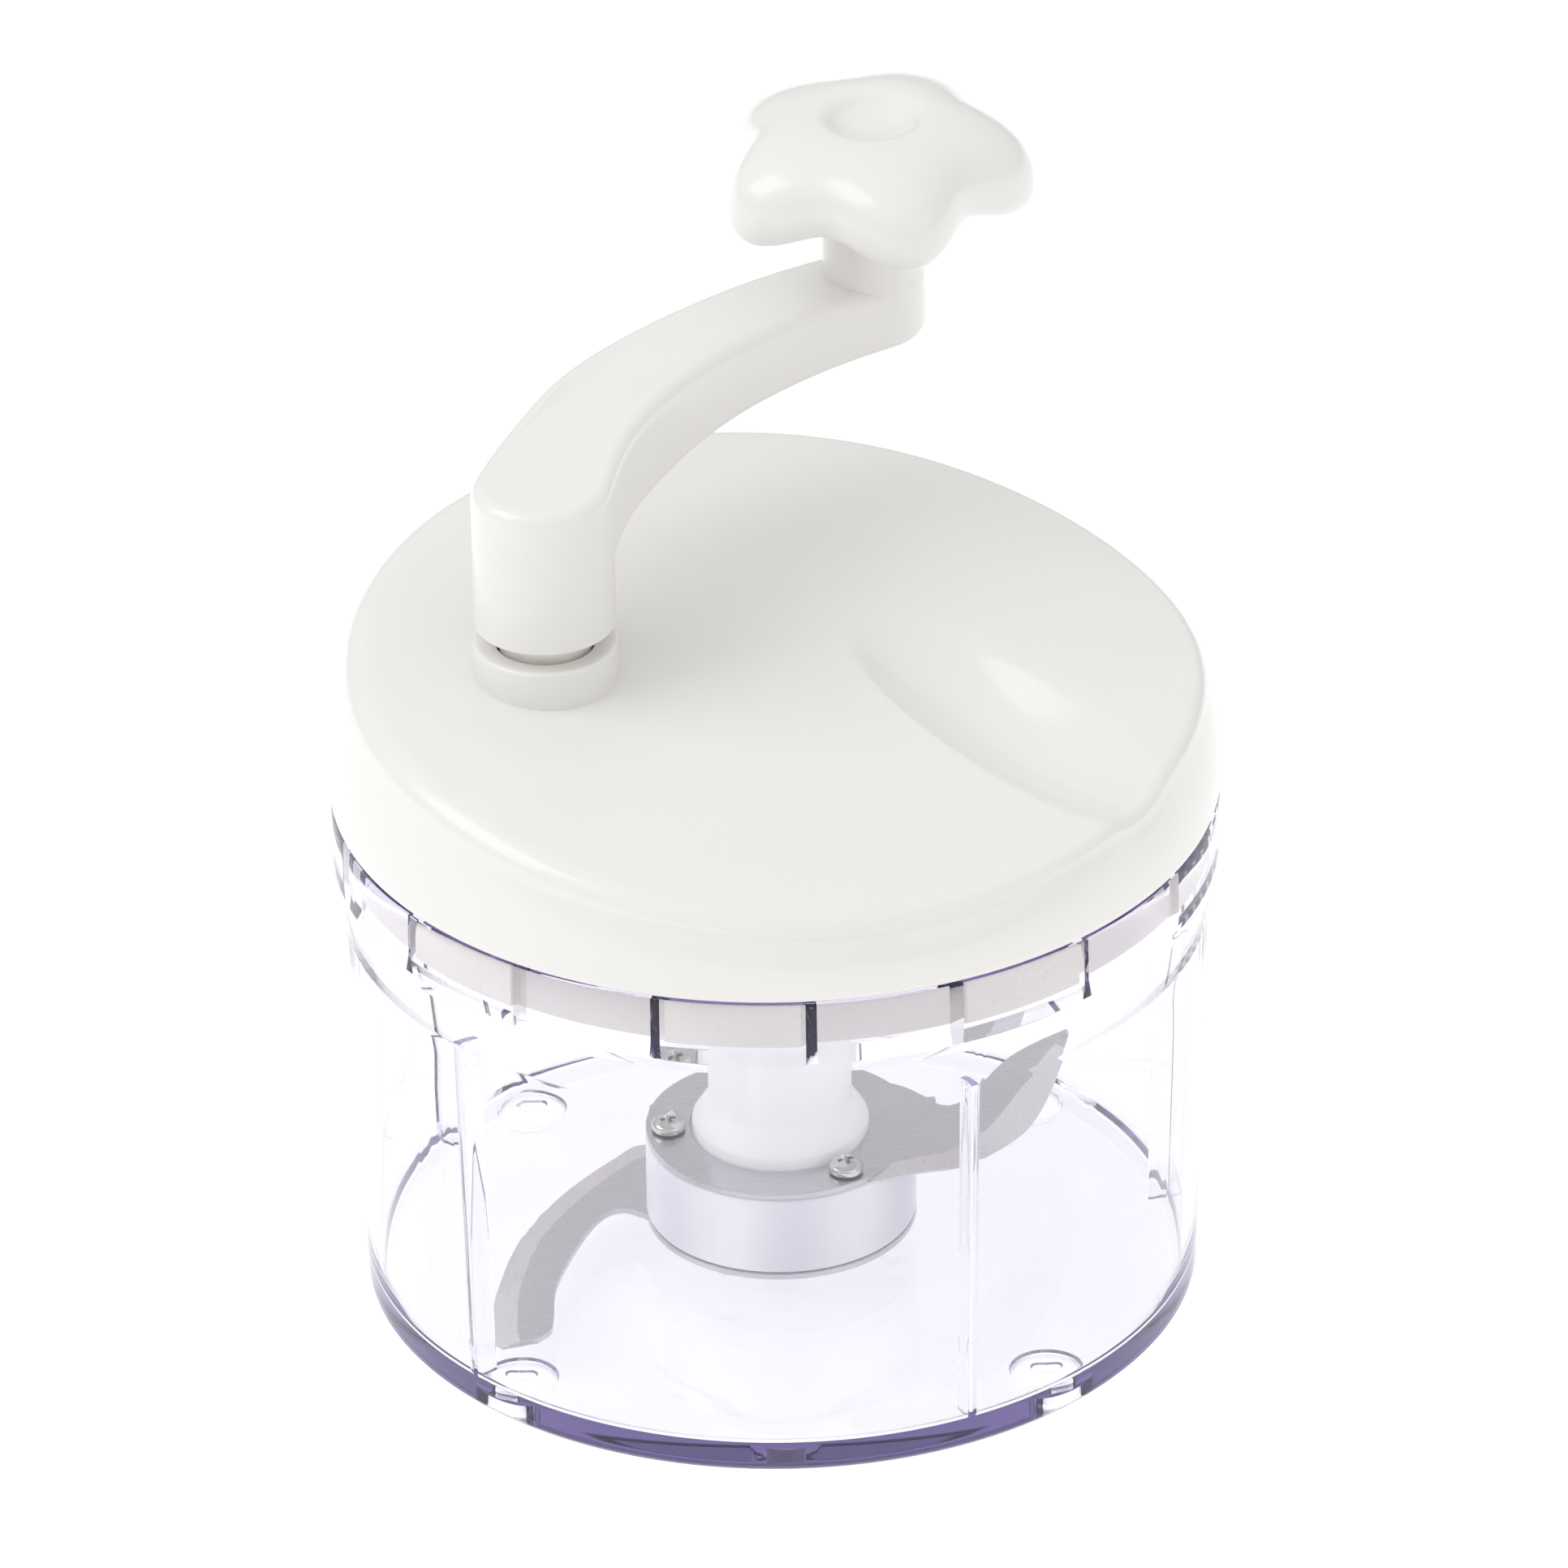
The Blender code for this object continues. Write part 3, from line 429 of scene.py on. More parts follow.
def make_materials():
    return {
        "white": moulded_plastic("white_plastic", (0.825, 0.821, 0.81), 0.22, ior=1.5, coat_weight=0.15,
                                 coat_roughness=0.08),
        # Skirt: a lighter copy of the lid's white plastic, painted light that stands in for light reaching
        # the skirt through the clear rim.
        "skirt": moulded_plastic("skirt_plastic_painted_light", (0.96, 0.935, 0.91), 0.30, ior=1.5),
        "inner": moulded_plastic("inner_white", (0.76, 0.75, 0.72), 0.38, ior=1.5),
        "gear": moulded_plastic("gear_plastic", (0.80, 0.80, 0.77), 0.45, ior=1.48),
        "bush": moulded_plastic("bush_plastic", (0.66, 0.60, 0.50), 0.42, ior=1.5),
        "clear": clear_plastic("clear_plastic", 0.01, 34.0, (0.56, 0.50, 0.72)),
        "foot": clear_plastic("clear_foot", 0.10, 34.0, (0.60, 0.56, 0.75)),
        # Holder: the faint emission is a painted glow; the subsurface scattering is the milky plastic's own.
        "natural": moulded_plastic("natural_plastic", (0.93, 0.94, 0.97), 0.42, ior=1.49,
                                   subsurface_weight=0.6, subsurface_scale=0.004,
                                   subsurface_radius=(1.0, 1.0, 1.0),
                                   emission_color=(0.92, 0.94, 1.0, 1.0), emission_strength=0.10),
        # Drum: the faint emission is a painted glow, and the paler columns over the posts with darker bands
        # between are painted see-through light.
        "drum": painted_post_light(moulded_plastic("natural_drum_painted_light", (0.92, 0.93, 0.98), 0.36, ior=1.49,
                                           transmission_weight=0.3, emission_color=(0.92, 0.94, 1.0, 1.0),
                                           emission_strength=0.1),
                           6, 5.0, (0.82, 0.83, 0.89), (0.99, 0.99, 1.0)),
        "steel": brushed_metal("steel", (0.66, 0.645, 0.62), 0.30, (1.0, 1.0, 6.0)),
        # Sleeve: steel lightened past the other steel's tone, painted light that makes up for the shade
        # between hub and boss.
        "sleeve": brushed_metal("sleeve_steel_painted_light", (1.0, 0.98, 0.95), 0.6, (1.0, 1.0, 6.0)),
        "screw": brushed_metal("screw_steel", (0.68, 0.67, 0.66), 0.17, (1.0, 1.0, 1.0), 400.0),
        "blade": brushed_metal("blade_steel", (0.595, 0.59, 0.625), 0.24, (0.05, 1.0, 1.0), 2600.0),
        # Ground edge: the brushing across the edge is its own; its lighter tone than the blade's flat is a
        # painted reflection.
        "edge": brushed_metal("edge_steel_and_painted_sheen", (0.84, 0.83, 0.865), 0.3, (1.0, 0.15, 1.0), 1500.0),
    }


# ---------------------------------------------------------------- bowl

def wall_outer_radius(z):
    """Outside of the drafted wall and of its flare, a cone out to the rim with rounded bends."""
    def bent(place):
        rise = min(FLARE_BEND, max(0.0, z - place + FLARE_BEND / 2))
        return rise * rise / (2 * FLARE_BEND) + max(0.0, z - place - FLARE_BEND / 2)

    start = BASE_RADIUS + (FLARE_BOTTOM - FLOOR_TOP) * WALL_DRAFT
    slope = (RIM_RADIUS - start) / (FLARE_TOP - FLARE_BOTTOM)
    return (BASE_RADIUS + (z - FLOOR_TOP) * WALL_DRAFT + bent(FLARE_BOTTOM) * (slope - WALL_DRAFT)
            - bent(FLARE_TOP) * slope)


def wall_inner_radius(z):
    """Inside of the wall. It turns a little lower than the outside, so the wall stays even where it bends."""
    shift = INNER_BEND_SHIFT if z > FLARE_BOTTOM - 5.0 else 0.0
    return wall_outer_radius(z + shift) - WALL


def pocket_share(bearing, gap=0.0):
    """0 between the pockets and 1 in them, rising over each pocket's slanting sides."""
    place = (bearing - FIRST_POCKET) % (360.0 / POCKET_COUNT)
    return min(1.0, max(0.0, (min(place, POCKET_WIDTH - place) - gap) / POCKET_CHAMFER))


def rib_share(bearing):
    """How far a rib stands out at this bearing, as a share of its height."""
    off = radians(min(abs((bearing - rib + 180.0) % 360.0 - 180.0) for rib in RIB_BEARINGS)) * RIB_RADIUS
    return float(np.interp(off, *zip(*RIB_EDGE)))


def bearings(gap=0.0, ribs=True, count=300):
    """Bearings of the columns: even ones, and close ones at the pockets' sides and the ribs."""
    close = []
    for i in range(POCKET_COUNT):
        left = FIRST_POCKET + i * 360.0 / POCKET_COUNT
        for d in (0.0, 0.5, 1.0):
            step = gap + d * POCKET_CHAMFER
            close += [left + step, left + POCKET_WIDTH - step]
    if ribs:
        offs = [float(np.degrees(off / RIB_RADIUS)) for off, share in RIB_EDGE]
        for middle in RIB_BEARINGS:
            close += [middle - d for d in offs] + [middle + d for d in offs[1:]]
    close = sorted(b % 360.0 for b in close)
    even = [i * 360.0 / count for i in range(count)]
    apart = [b for b in even if min(abs((b - c + 180.0) % 360.0 - 180.0) for c in close) > 0.45]
    return sorted(close + apart)


def bowl_profile():
    """(radius, height, kind) down the bowl's section, from the middle of its floor to its underside."""
    rows = [(r, FLOOR_TOP, "floor") for r in (0.0, 15.0, 35.0, 50.0)]
    centre_r = wall_inner_radius(FLOOR_TOP + FLOOR_ROUND) - FLOOR_ROUND
    for k in range(7):
        a = radians(15.0 * k)
        rows.append((centre_r + FLOOR_ROUND * sin(a), FLOOR_TOP + FLOOR_ROUND * (1 - cos(a)), "wall"))
    bends = [place + FLARE_BEND * k / 8 for place in (FLARE_BOTTOM, FLARE_TOP) for k in range(-4, 5)]
    inner_bends = [z - INNER_BEND_SHIFT for z in bends]
    rib_ends = [RIB_TOP - d for d in (0.4, 0.25, 0.1, 0.03, 0.0)]
    for z in sorted([10, 16, 24, 32, 40, 48, 56, 62, 64.5, *rib_ends, *inner_bends]):
        rows.append((wall_inner_radius(z), z, "wall"))
    for z in (SEAT_HEIGHT, SEAT_HEIGHT + 0.25, 81.0, 84.0, RIM_TOP - 0.4):
        rows.append((0.0, z, "rim"))
    rows.append((0.4, RIM_TOP, "rim"))
    rows += [(69.4, RIM_TOP, "out"), (69.8, RIM_TOP - 0.15, "out"), (RIM_RADIUS, RIM_TOP - 0.6, "out"),
             (RIM_RADIUS, 84.0, "out"), (RIM_RADIUS, 80.0, "out")]
    for z in [*reversed(bends), 64.0, 56.0, 46.0, 36.0, 26.0, 16.0, 8.0, 3.5]:
        rows.append((wall_outer_radius(z), z, "out"))
    foot = rounded([(wall_outer_radius(3.4), 3.4), (wall_outer_radius(1.6), 1.6, 0.9),
                    (BASE_RADIUS - 0.9, UNDERSIDE, 0.7), (60.0, UNDERSIDE)], 4)
    rows += [(r, z, "out") for r, z in foot[1:]]
    rows += [(r, UNDERSIDE, "out") for r in (45.0, 20.0, 0.0)]
    return rows


def bowl_radius(radius, z, kind, bearing):
    if kind == "rim":
        return radius + SKIRT_BORE + (POCKET_RADIUS - SKIRT_BORE) * pocket_share(bearing)
    if kind == "wall":
        fade = max(0.0, min(1.0, (RIB_TOP - z) / 0.5)) ** 0.5
        return min(radius, wall_inner_radius(z) - RIB_HEIGHT * fade * rib_share(bearing))
    return radius


def make_bowl(mats):
    columns = bearings()
    rings = []
    for radius, z, kind in bowl_profile():
        if radius == 0.0 and kind != "rim":
            rings.append([(0.0, 0.0, z)])
        else:
            rings.append([(*bearing_point(bowl_radius(radius, z, kind, b), b), z) for b in columns])
    bowl = to_object("bowl_moulding", skin(rings))
    recesses = [cylinder(FOOT_RADIUS + 0.3, -1.0, 2.7, x, y) for x, y in FOOT_PLACES]
    stems = [prism(capsule(FOOT_MARK, 1.15, x, y), 2.0, 3.8) for x, y in FOOT_PLACES]
    socket = cylinder(SPINDLE_RADIUS + 0.3, 2.0, 9.0, steps=32)
    carve(bowl, "DIFFERENCE", together(*recesses, socket), together(*stems))
    finish_piece(bowl, "bowl", ["bowl"], mats["clear"], 28.0)
    bowl.visible_shadow = False


def make_feet(mats):
    profile = rounded([(0.0, 2.4), (FOOT_RADIUS, 2.4, 0.3), (FOOT_RADIUS, 0.0, 0.6), (0.0, 0.0)])
    for i, (x, y) in enumerate(FOOT_PLACES):
        foot = to_object(f"foot_pad_{i + 1}", turned(profile, 64, x, y))
        carve(foot, "UNION", prism(capsule(FOOT_MARK, 0.85, x, y), 2.0, 3.5))
        finish_piece(foot, "bowl", [f"foot_{i + 1}"], mats["foot"])
        foot.visible_shadow = False


def make_spindle(mats):
    profile = rounded([(0.0, SPINDLE_TOP), (SPINDLE_RADIUS, SPINDLE_TOP, 1.4), (SPINDLE_RADIUS, 2.3, 0.3),
                       (0.0, 2.3)])
    pin = to_object("spindle", turned(profile, 48))
    finish_piece(pin, "bowl", ["spindle_pin"], mats["steel"])


# ---------------------------------------------------------------- lid

def lid_height(x, y):
    """Top face of the lid: a low crown on a wavy edge, less the finger hollow."""
    r = hypot(x, y) / LID_SHOULDER
    b = np.arctan2(x, -y)
    edge = r * (-5.4 * cos(b) - 3.5 * sin(b))
    edge += r ** 2 * (-1.0 * cos(2 * b) + 0.2 * sin(2 * b))
    edge += r ** 3 * (-0.9 * cos(3 * b) - 0.7 * sin(3 * b))
    edge -= 4.5 * r ** 3 * max(0.0, -cos(b)) * sin(b) ** 3
    return CROWN + edge + CROWN_RISE * (1.0 - r * r) - hollow_depth(x, y)


def hollow_depth(x, y):
    """Long oval finger hollow that runs out over the lid's front right edge."""
    along = Vector(bearing_point(1.0, 40.0))
    offset = Vector((x - 36.0, y + 14.0))
    u, v = offset.dot(along) / 36.0, offset.cross(along) / 12.5
    return 6.5 * max(0.0, 1.0 - u * u - v * v) ** 1.2


def lid_wall(bearing):
    """(radius, height) over the lid's rounded shoulder and down its side."""
    bend = max(2.2, 3.2 - 1.5 * sin(radians(bearing)))
    start = LID_SHOULDER - bend
    top = lid_height(*bearing_point(start, bearing))
    rows = []
    for k in range(9):
        a = radians(90.0 * k / 8)
        rows.append((start + bend * sin(a), top - bend * (1 - cos(a))))
    side_top, side_bottom = top - bend, 92.0
    for k in range(1, 10):
        t = k / 9
        rows.append((LID_SHOULDER + (LID_RADIUS - LID_SHOULDER) * (1 - (1 - t) ** 1.8),
                     side_top + (side_bottom - side_top) * t))
    rows += [(LID_RADIUS, 90.0), (LID_RADIUS, 89.1), (LID_RADIUS - 0.12, 88.65),
             (LID_RADIUS - 0.4, LID_BOTTOM + 0.08), (LID_RADIUS - 0.8, LID_BOTTOM)]
    return rows


def lid_section(bearing):
    """(radius, height) from the lid's middle over its outside and skirt to its underside's middle."""
    start = lid_wall(bearing)[0][0]
    shares = [0.02 + 0.98 * k / 39 for k in range(40)]
    top = [(start * s, lid_height(*bearing_point(start * s, bearing))) for s in shares[:-1]]
    skirt = SKIRT_RADIUS + (TOOTH_RADIUS - SKIRT_RADIUS) * pocket_share(bearing, TOOTH_GAP)
    low_end = SKIRT_BOTTOM
    around = [(skirt + 0.3, LID_BOTTOM), (skirt, LID_BOTTOM - 0.3), (skirt, 84.0), (skirt, low_end + 0.4),
              (skirt - 0.12, low_end + 0.12), (skirt - 0.4, low_end), (SKIRT_INNER + 0.4, low_end),
              (SKIRT_INNER, low_end + 0.4), (SKIRT_INNER, 84.0), (SKIRT_INNER, 89.0), (66.0, 91.5)]
    inner_top = [(65.4, lid_height(*bearing_point(65.4, bearing)) - 5.0)]
    inner_top += [(start * s, lid_height(*bearing_point(start * s, bearing)) - LID_WALL)
                  for s in reversed(shares[::3][:-1])]
    return top + lid_wall(bearing) + around + inner_top


def make_lid(mats):
    columns = bearings(TOOTH_GAP, ribs=False)
    sections = [lid_section(b) for b in columns]
    rings = [[(*bearing_point(section[k][0], b), section[k][1]) for section, b in zip(sections, columns)]
             for k in range(len(sections[0]))]
    rings.insert(0, [(0.0, 0.0, lid_height(0.0, 0.0))])
    rings.append([(0.0, 0.0, lid_height(0.0, 0.0) - LID_WALL)])
    lid = to_object("lid_moulding", skin(rings))
    x, y = CRANK_AXIS
    carve(lid, "DIFFERENCE", cylinder(8.0, 95.0, 120.0, x, y, 64))
    bore = BUSH_RADIUS + 0.3
    boss = rounded([(BOSS_RADIUS, BOSS_TOP, 0.7), (BOSS_RADIUS, BOSS_FOOT), (bore, BOSS_FOOT),
                    (bore, BOSS_WELL_FLOOR), (BOSS_WELL_RADIUS, BOSS_WELL_FLOOR),
                    (BOSS_WELL_RADIUS, BOSS_TOP, 1.0)], closed=True)
    carve(lid, "UNION", turned(boss, 128, x, y, loop=True))
    finish_piece(lid, "lid", ["lid_shell"], mats["white"], 30.0)
    # The skirt below the lid's bottom edge takes the lighter copy of the white plastic: painted light.
    second_material(lid, mats["skirt"], lambda face: face.center.z < LID_BOTTOM * MM)


def make_gear_cover(mats):
    bottom = low("gear_cover")
    top = high("gear_cover")
    edge = SKIRT_INNER - 0.5
    profile = rounded([(8.2, top), (edge, top, 0.3), (edge, bottom, 0.4), (52.0, bottom, 0.4),
                       (51.0, bottom + 0.8, 0.3), (22.0, bottom + 0.8, 0.3), (21.0, bottom, 0.4),
                       (8.2, bottom, 0.4)], closed=True)
    cover = to_object("gear_cover_moulding", turned(profile, 160, loop=True))
    places = [sum(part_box(f"cover_screw_{i + 1}"), Vector()) / 2 / MM for i in range(4)]
    carve(cover, "DIFFERENCE", together(*(cylinder(1.6, 80.0, 92.0, p.x, p.y, 32) for p in places)))
    finish_piece(cover, "lid", ["gear_cover"], mats["inner"])
    for i, p in enumerate(places):
        screw = screw_shape(2.6, 1.2, bottom - 0.3, 1.8, 7.0, -1.0, p.x, p.y)
        make_screw(f"cover_screw_head_{i + 1}", screw, "lid", f"cover_screw_{i + 1}", mats)


# ---------------------------------------------------------------- crank and knob

def arm_centreline(count):
    """(share, point, outward normal) along the arm's arc, from the crank's axis to the knob's."""
    start, end = Vector(CRANK_AXIS), Vector(KNOB_AXIS)
    chord = (end - start).length
    radius = (chord * chord / 4 + ARM_SAGITTA ** 2) / (2 * ARM_SAGITTA)
    along = (end - start) / chord
    outward = Vector((-along.y, along.x))
    centre = (start + end) / 2 - outward * (radius - ARM_SAGITTA)
    half_turn = acos((radius - ARM_SAGITTA) / radius)
    stations = []
    for i in range(count):
        a = half_turn * (2 * i / (count - 1) - 1)
        normal = outward * cos(a) + along * sin(a)
        stations.append((i / (count - 1), centre + normal * radius, normal))
    return stations


def arm_outline(inset):
    """Plan of the arm, each point (x, y, kind): half a circle at the hub, two sides, half at the knob."""
    stations = arm_centreline(41)
    shares, widths = zip(*smooth_curve(ARM_HALF_WIDTHS, 60))
    start, end = stations[0], stations[-1]
    outline = []
    for k in range(37):
        a = pi * k / 36
        turn = Matrix.Rotation(a, 2) @ start[2]
        outline.append((start[1] + turn * (HUB_RADIUS - inset), "hub"))
    for t, point, normal in stations[1:-1]:
        outline.append((point - normal * (float(np.interp(t, shares, widths)) - inset), "side"))
    for k in range(29):
        a = pi * k / 28
        turn = Matrix.Rotation(a, 2) @ -end[2]
        outline.append((end[1] + turn * (STEM_RADIUS - inset), "end"))
    for t, point, normal in reversed(stations[1:-1]):
        outline.append((point + normal * (float(np.interp(t, shares, widths)) - inset), "side"))
    return outline


def arm_share(point):
    """Place of a plan point between the crank's axis, 0, and the knob's, 1."""
    chord = Vector(KNOB_AXIS) - Vector(CRANK_AXIS)
    return (point - Vector(CRANK_AXIS)).dot(chord) / chord.length_squared


def arm_bottom(point):
    return ARM_ROOT_BOTTOM + (ARM_END_BOTTOM - ARM_ROOT_BOTTOM) * arm_share(point)


def arm_top(point):
    """Height of the arm's top, level along most of it and dipping to the hub's front."""
    t = min(1.0, max(0.0, (arm_share(point) - DIP_FRONT) / DIP_RUN))
    return ARM_TOP - ARM_DIP * (1 + cos(pi * t)) / 2


def arm_shape():
    """Arm with rounded edges, upright at the hub below and at the stem above, where they carry on."""
    outline = arm_outline(0.0)
    top_round, foot_round = 2.2, 1.3
    rings = []
    for inset, lift in ((foot_round + 0.4, 0.0), *((foot_round * (1 - sin(a)), foot_round * (1 - cos(a)))
                                                   for a in np.radians((0, 18, 36, 54, 72, 90)))):
        points = [outline[k][0] if kind == "hub" else point
                  for k, (point, kind) in enumerate(arm_outline(inset))]
        rings.append([(*point, arm_bottom(point) + lift) for point in points])
    rings.append([(*point, arm_bottom(point) + foot_round + 0.4) for point, kind in outline])
    rings.append([(*point, arm_top(point) - top_round - 0.4) for point, kind in outline])
    for inset, drop in (*((top_round * (1 - cos(a)), top_round * (1 - sin(a)))
                          for a in np.radians((0, 15, 30, 45, 60, 75, 90))), (top_round + 0.4, 0.0)):
        points = [outline[k][0] if kind == "end" else point
                  for k, (point, kind) in enumerate(arm_outline(inset))]
        rings.append([(*point, arm_top(point) - drop) for point in points])
    return skin(rings)


def make_crank(mats):
    """Hub, arm and stem as one moulding with rounded edges."""
    step = 0.03  # how far the hub and the stem stand back from the arm's outline
    x, y = CRANK_AXIS
    kx, ky = KNOB_AXIS
    hub = rounded([(0.0, HUB_BOTTOM), (HUB_RADIUS - step, HUB_BOTTOM, 0.5), (HUB_RADIUS - step, 140.0),
                   (0.0, 140.0)])
    stem = rounded([(0.0, STEM_TOP), (STEM_RADIUS - step, STEM_TOP, 0.6), (STEM_RADIUS - step, 145.0),
                    (0.0, 145.0)])
    crank = to_object("crank_moulding", arm_shape())
    carve(crank, "UNION", turned(hub, 144, x, y), turned(stem, 112, kx, ky))
    carve(crank, "DIFFERENCE", cylinder(4.3, 110.0, 141.3, x, y), cylinder(2.8, 130.0, 170.0, kx, ky),
          cylinder(4.8, 130.0, low("knob_pin") + 2.8, kx, ky))
    finish_piece(crank, "crank", ["crank_arm"], mats["white"], 32.0)


def make_shaft_parts(mats):
    x, y = CRANK_AXIS
    top, bottom = HUB_BOTTOM - 0.3, BOSS_WELL_FLOOR + 1.8
    sleeve = rounded([(4.2, top), (SLEEVE_RADIUS, top, 0.3), (SLEEVE_RADIUS, bottom, 0.2), (4.2, bottom)],
                     closed=True)
    obj = to_object("shaft_collar", turned(sleeve, 96, x, y, loop=True))
    # The sleeve's steel is lightened as painted light for the shade it sits in.
    finish_piece(obj, "crank", ["shaft_sleeve"], mats["sleeve"])
    flange, top, bottom = BOSS_WELL_RADIUS - 0.3, BOSS_WELL_FLOOR + 1.4, BOSS_FOOT - 1.0
    bush = rounded([(flange, top, 0.3), (flange, BOSS_WELL_FLOOR + 0.3), (BUSH_RADIUS, BOSS_WELL_FLOOR + 0.3),
                    (BUSH_RADIUS, bottom, 0.3), (SHAFT_BORE, bottom), (SHAFT_BORE, top)], closed=True)
    obj = to_object("shaft_bearing", turned(bush, 96, x, y, loop=True))
    finish_piece(obj, "lid", ["shaft_bush"], mats["bush"])
    kx, ky = KNOB_AXIS
    bottom = low("knob_pin")
    pin = rounded([(0.0, PIN_TOP), (2.5, PIN_TOP, 0.5), (2.5, bottom + 2.4), (4.5, bottom + 2.4, 0.2),
                   (4.5, bottom, 0.7), (0.0, bottom)])
    obj = to_object("knob_rivet", turned(pin, 64, kx, ky))
    finish_piece(obj, "crank", ["knob_pin"], mats["steel"])


KNOB_SECTION = (  # radius, lobe, drop below the top, extra drop of the lobes
    (0.0, 0.0, 2.2, 0.0), (3.0, 0.0, 2.15, 0.0), (5.6, 0.0, 1.5, 0.0), (7.6, 0.0, 0.35, 0.0),
    (9.4, 0.0, 0.0, 0.0), (12.5, 0.3, 0.25, 0.0), (16.0, 1.0, 1.2, 0.1), (19.0, 1.7, 2.7, 0.3),
    (21.2, 2.2, 4.7, 0.5), (22.5, 2.5, 7.2, 0.8), (23.0, 2.6, 10.0, 1.1), (22.7, 2.6, 12.4, 1.4),
    (21.4, 2.3, 14.0, 1.6), (19.0, 1.8, 14.5, 1.5), (15.0, 0.9, 14.0, 0.8), (11.0, 0.2, 13.3, 0.2),
    (9.5, 0.0, 13.2, 0.0), (4.0, 0.0, 13.2, 0.0))
KNOB_TURN = 14.0  # bearing of one lobe


def make_knob(mats):
    """Five-lobed knob with a dimple, whose lobes droop and whose valleys arch up."""
    kx, ky = KNOB_AXIS
    steps = 240
    rings = []
    for radius, lobe, drop, droop in smooth_curve(KNOB_SECTION, 86):
        if radius < 0.05:
            rings.append([(kx, ky, KNOB_TOP - drop)])
            continue
        ring = []
        for i in range(steps):
            a = 360.0 * i / steps
            wave = cos(radians(5 * a))
            x, y = bearing_point(radius + lobe * wave, a + KNOB_TURN)
            ring.append((kx + x, ky + y, KNOB_TOP - drop - droop * wave))
        rings.append(ring)
    knob = to_object("knob_flower", skin(rings))
    carve(knob, "DIFFERENCE", cylinder(2.8, 150.0, PIN_TOP + 0.5, kx, ky, 32))
    finish_piece(knob, "knob", ["knob"], mats["white"], 40.0)


# ---------------------------------------------------------------- blade unit

def make_holder(mats):
    """Milky moulding: tube, flared foot, drum with six posts, and the socket for the drive. Its faint glow
    and the drum's paler post columns are painted light.
    """
    sleeve, bore = 5.4, SPINDLE_RADIUS + 0.25
    tube_top = high("blade_holder")
    profile = rounded([
        (0.0, 75.0), (TUBE_RADIUS - 3.2, 75.0), (TUBE_RADIUS - 3.2, tube_top), (TUBE_RADIUS, tube_top, 0.5),
        (TUBE_RADIUS, DRUM_TOP + 7.2, 3.0), (FLARE_RADIUS, DRUM_TOP + 2.9, 1.2),
        (FLARE_RADIUS, DRUM_TOP, 0.15),
        (DRUM_RADIUS, DRUM_TOP, 0.5), (DRUM_RADIUS, DRUM_BOTTOM, 0.3), (DRUM_RADIUS - 1.8, DRUM_BOTTOM),
        (DRUM_RADIUS - 1.8, DRUM_TOP - 2.0, 0.5), (TUBE_RADIUS, DRUM_TOP - 2.0), (TUBE_RADIUS, DRUM_BOTTOM),
        (TUBE_RADIUS - 2.0, DRUM_BOTTOM), (TUBE_RADIUS - 2.0, 62.0), (sleeve, 62.0), (sleeve, DRUM_BOTTOM),
        (bore, DRUM_BOTTOM), (bore, 60.5), (0.0, 60.5)])
    holder = to_object("blade_holder_moulding", turned(profile, 128))
    places = [bearing_point(SCREW_CIRCLE, b) for b in UPPER_SCREWS + LOWER_SCREWS]
    carve(holder, "UNION", together(*(cylinder(2.9, DRUM_BOTTOM + 0.05, DRUM_TOP - 1.0, x, y, 40)
                                      for x, y in places)))
    spans = [(12.5, 30.0)] * len(UPPER_SCREWS) + [(0.0, 19.0)] * len(LOWER_SCREWS)
    carve(holder, "DIFFERENCE", together(*(cylinder(1.5, bottom, top, x, y, 24)
                                           for (x, y), (bottom, top) in zip(places, spans))),
          cylinder(6.6, 72.0, 90.0, steps=6))
    finish_piece(holder, "blades", ["blade_holder"], mats["natural"])
    # The drum below the blade takes the material with the painted glow and the painted post columns.
    second_material(holder, mats["drum"], lambda face: face.center.z < DRUM_TOP * MM)


def wing(edge_points, grind_points, back_points, bottom, droop):
    """Blade wing from its ground edge over the grinding's boundary to its blunt back."""
    count = 64
    curves = [smooth_curve(points, count) for points in (edge_points, grind_points, back_points)]
    rings = []
    for edge, grind, back in zip(*curves):
        ring = []
        for p, lift in ((edge, 0.0), (back, 0.0), (back, BLADE_THICKNESS), (grind, BLADE_THICKNESS),
                        (edge, 0.25)):
            reach = max(0.0, hypot(*p) - DRUM_RADIUS) / 36.0
            ring.append((p[0], p[1], bottom + lift - droop * reach ** 1.5))
        rings.append(ring)
    return skin(rings)


def make_blade(name, node_name, hole, bottom, wing_shape, screws, mats):
    top = bottom + BLADE_THICKNESS
    plate = rounded([(hole, top), (DRUM_RADIUS, top, 0.12), (DRUM_RADIUS, bottom, 0.12), (hole, bottom)],
                    2, closed=True)
    blade = to_object(name, turned(plate, 160, loop=True))
    carve(blade, "UNION", wing_shape)
    carve(blade, "DIFFERENCE", together(*(cylinder(1.7, bottom - 2.0, bottom + 3.0,
                                                   *bearing_point(SCREW_CIRCLE, b), 32) for b in screws)))
    finish_piece(blade, "blades", [node_name], mats["blade"], 8.0)
    # Ground bevel faces take the lighter steel: their own brushing, and a painted reflection in their tone.
    second_material(blade, mats["edge"], lambda face: 0.9 < face.normal.z < 0.99)


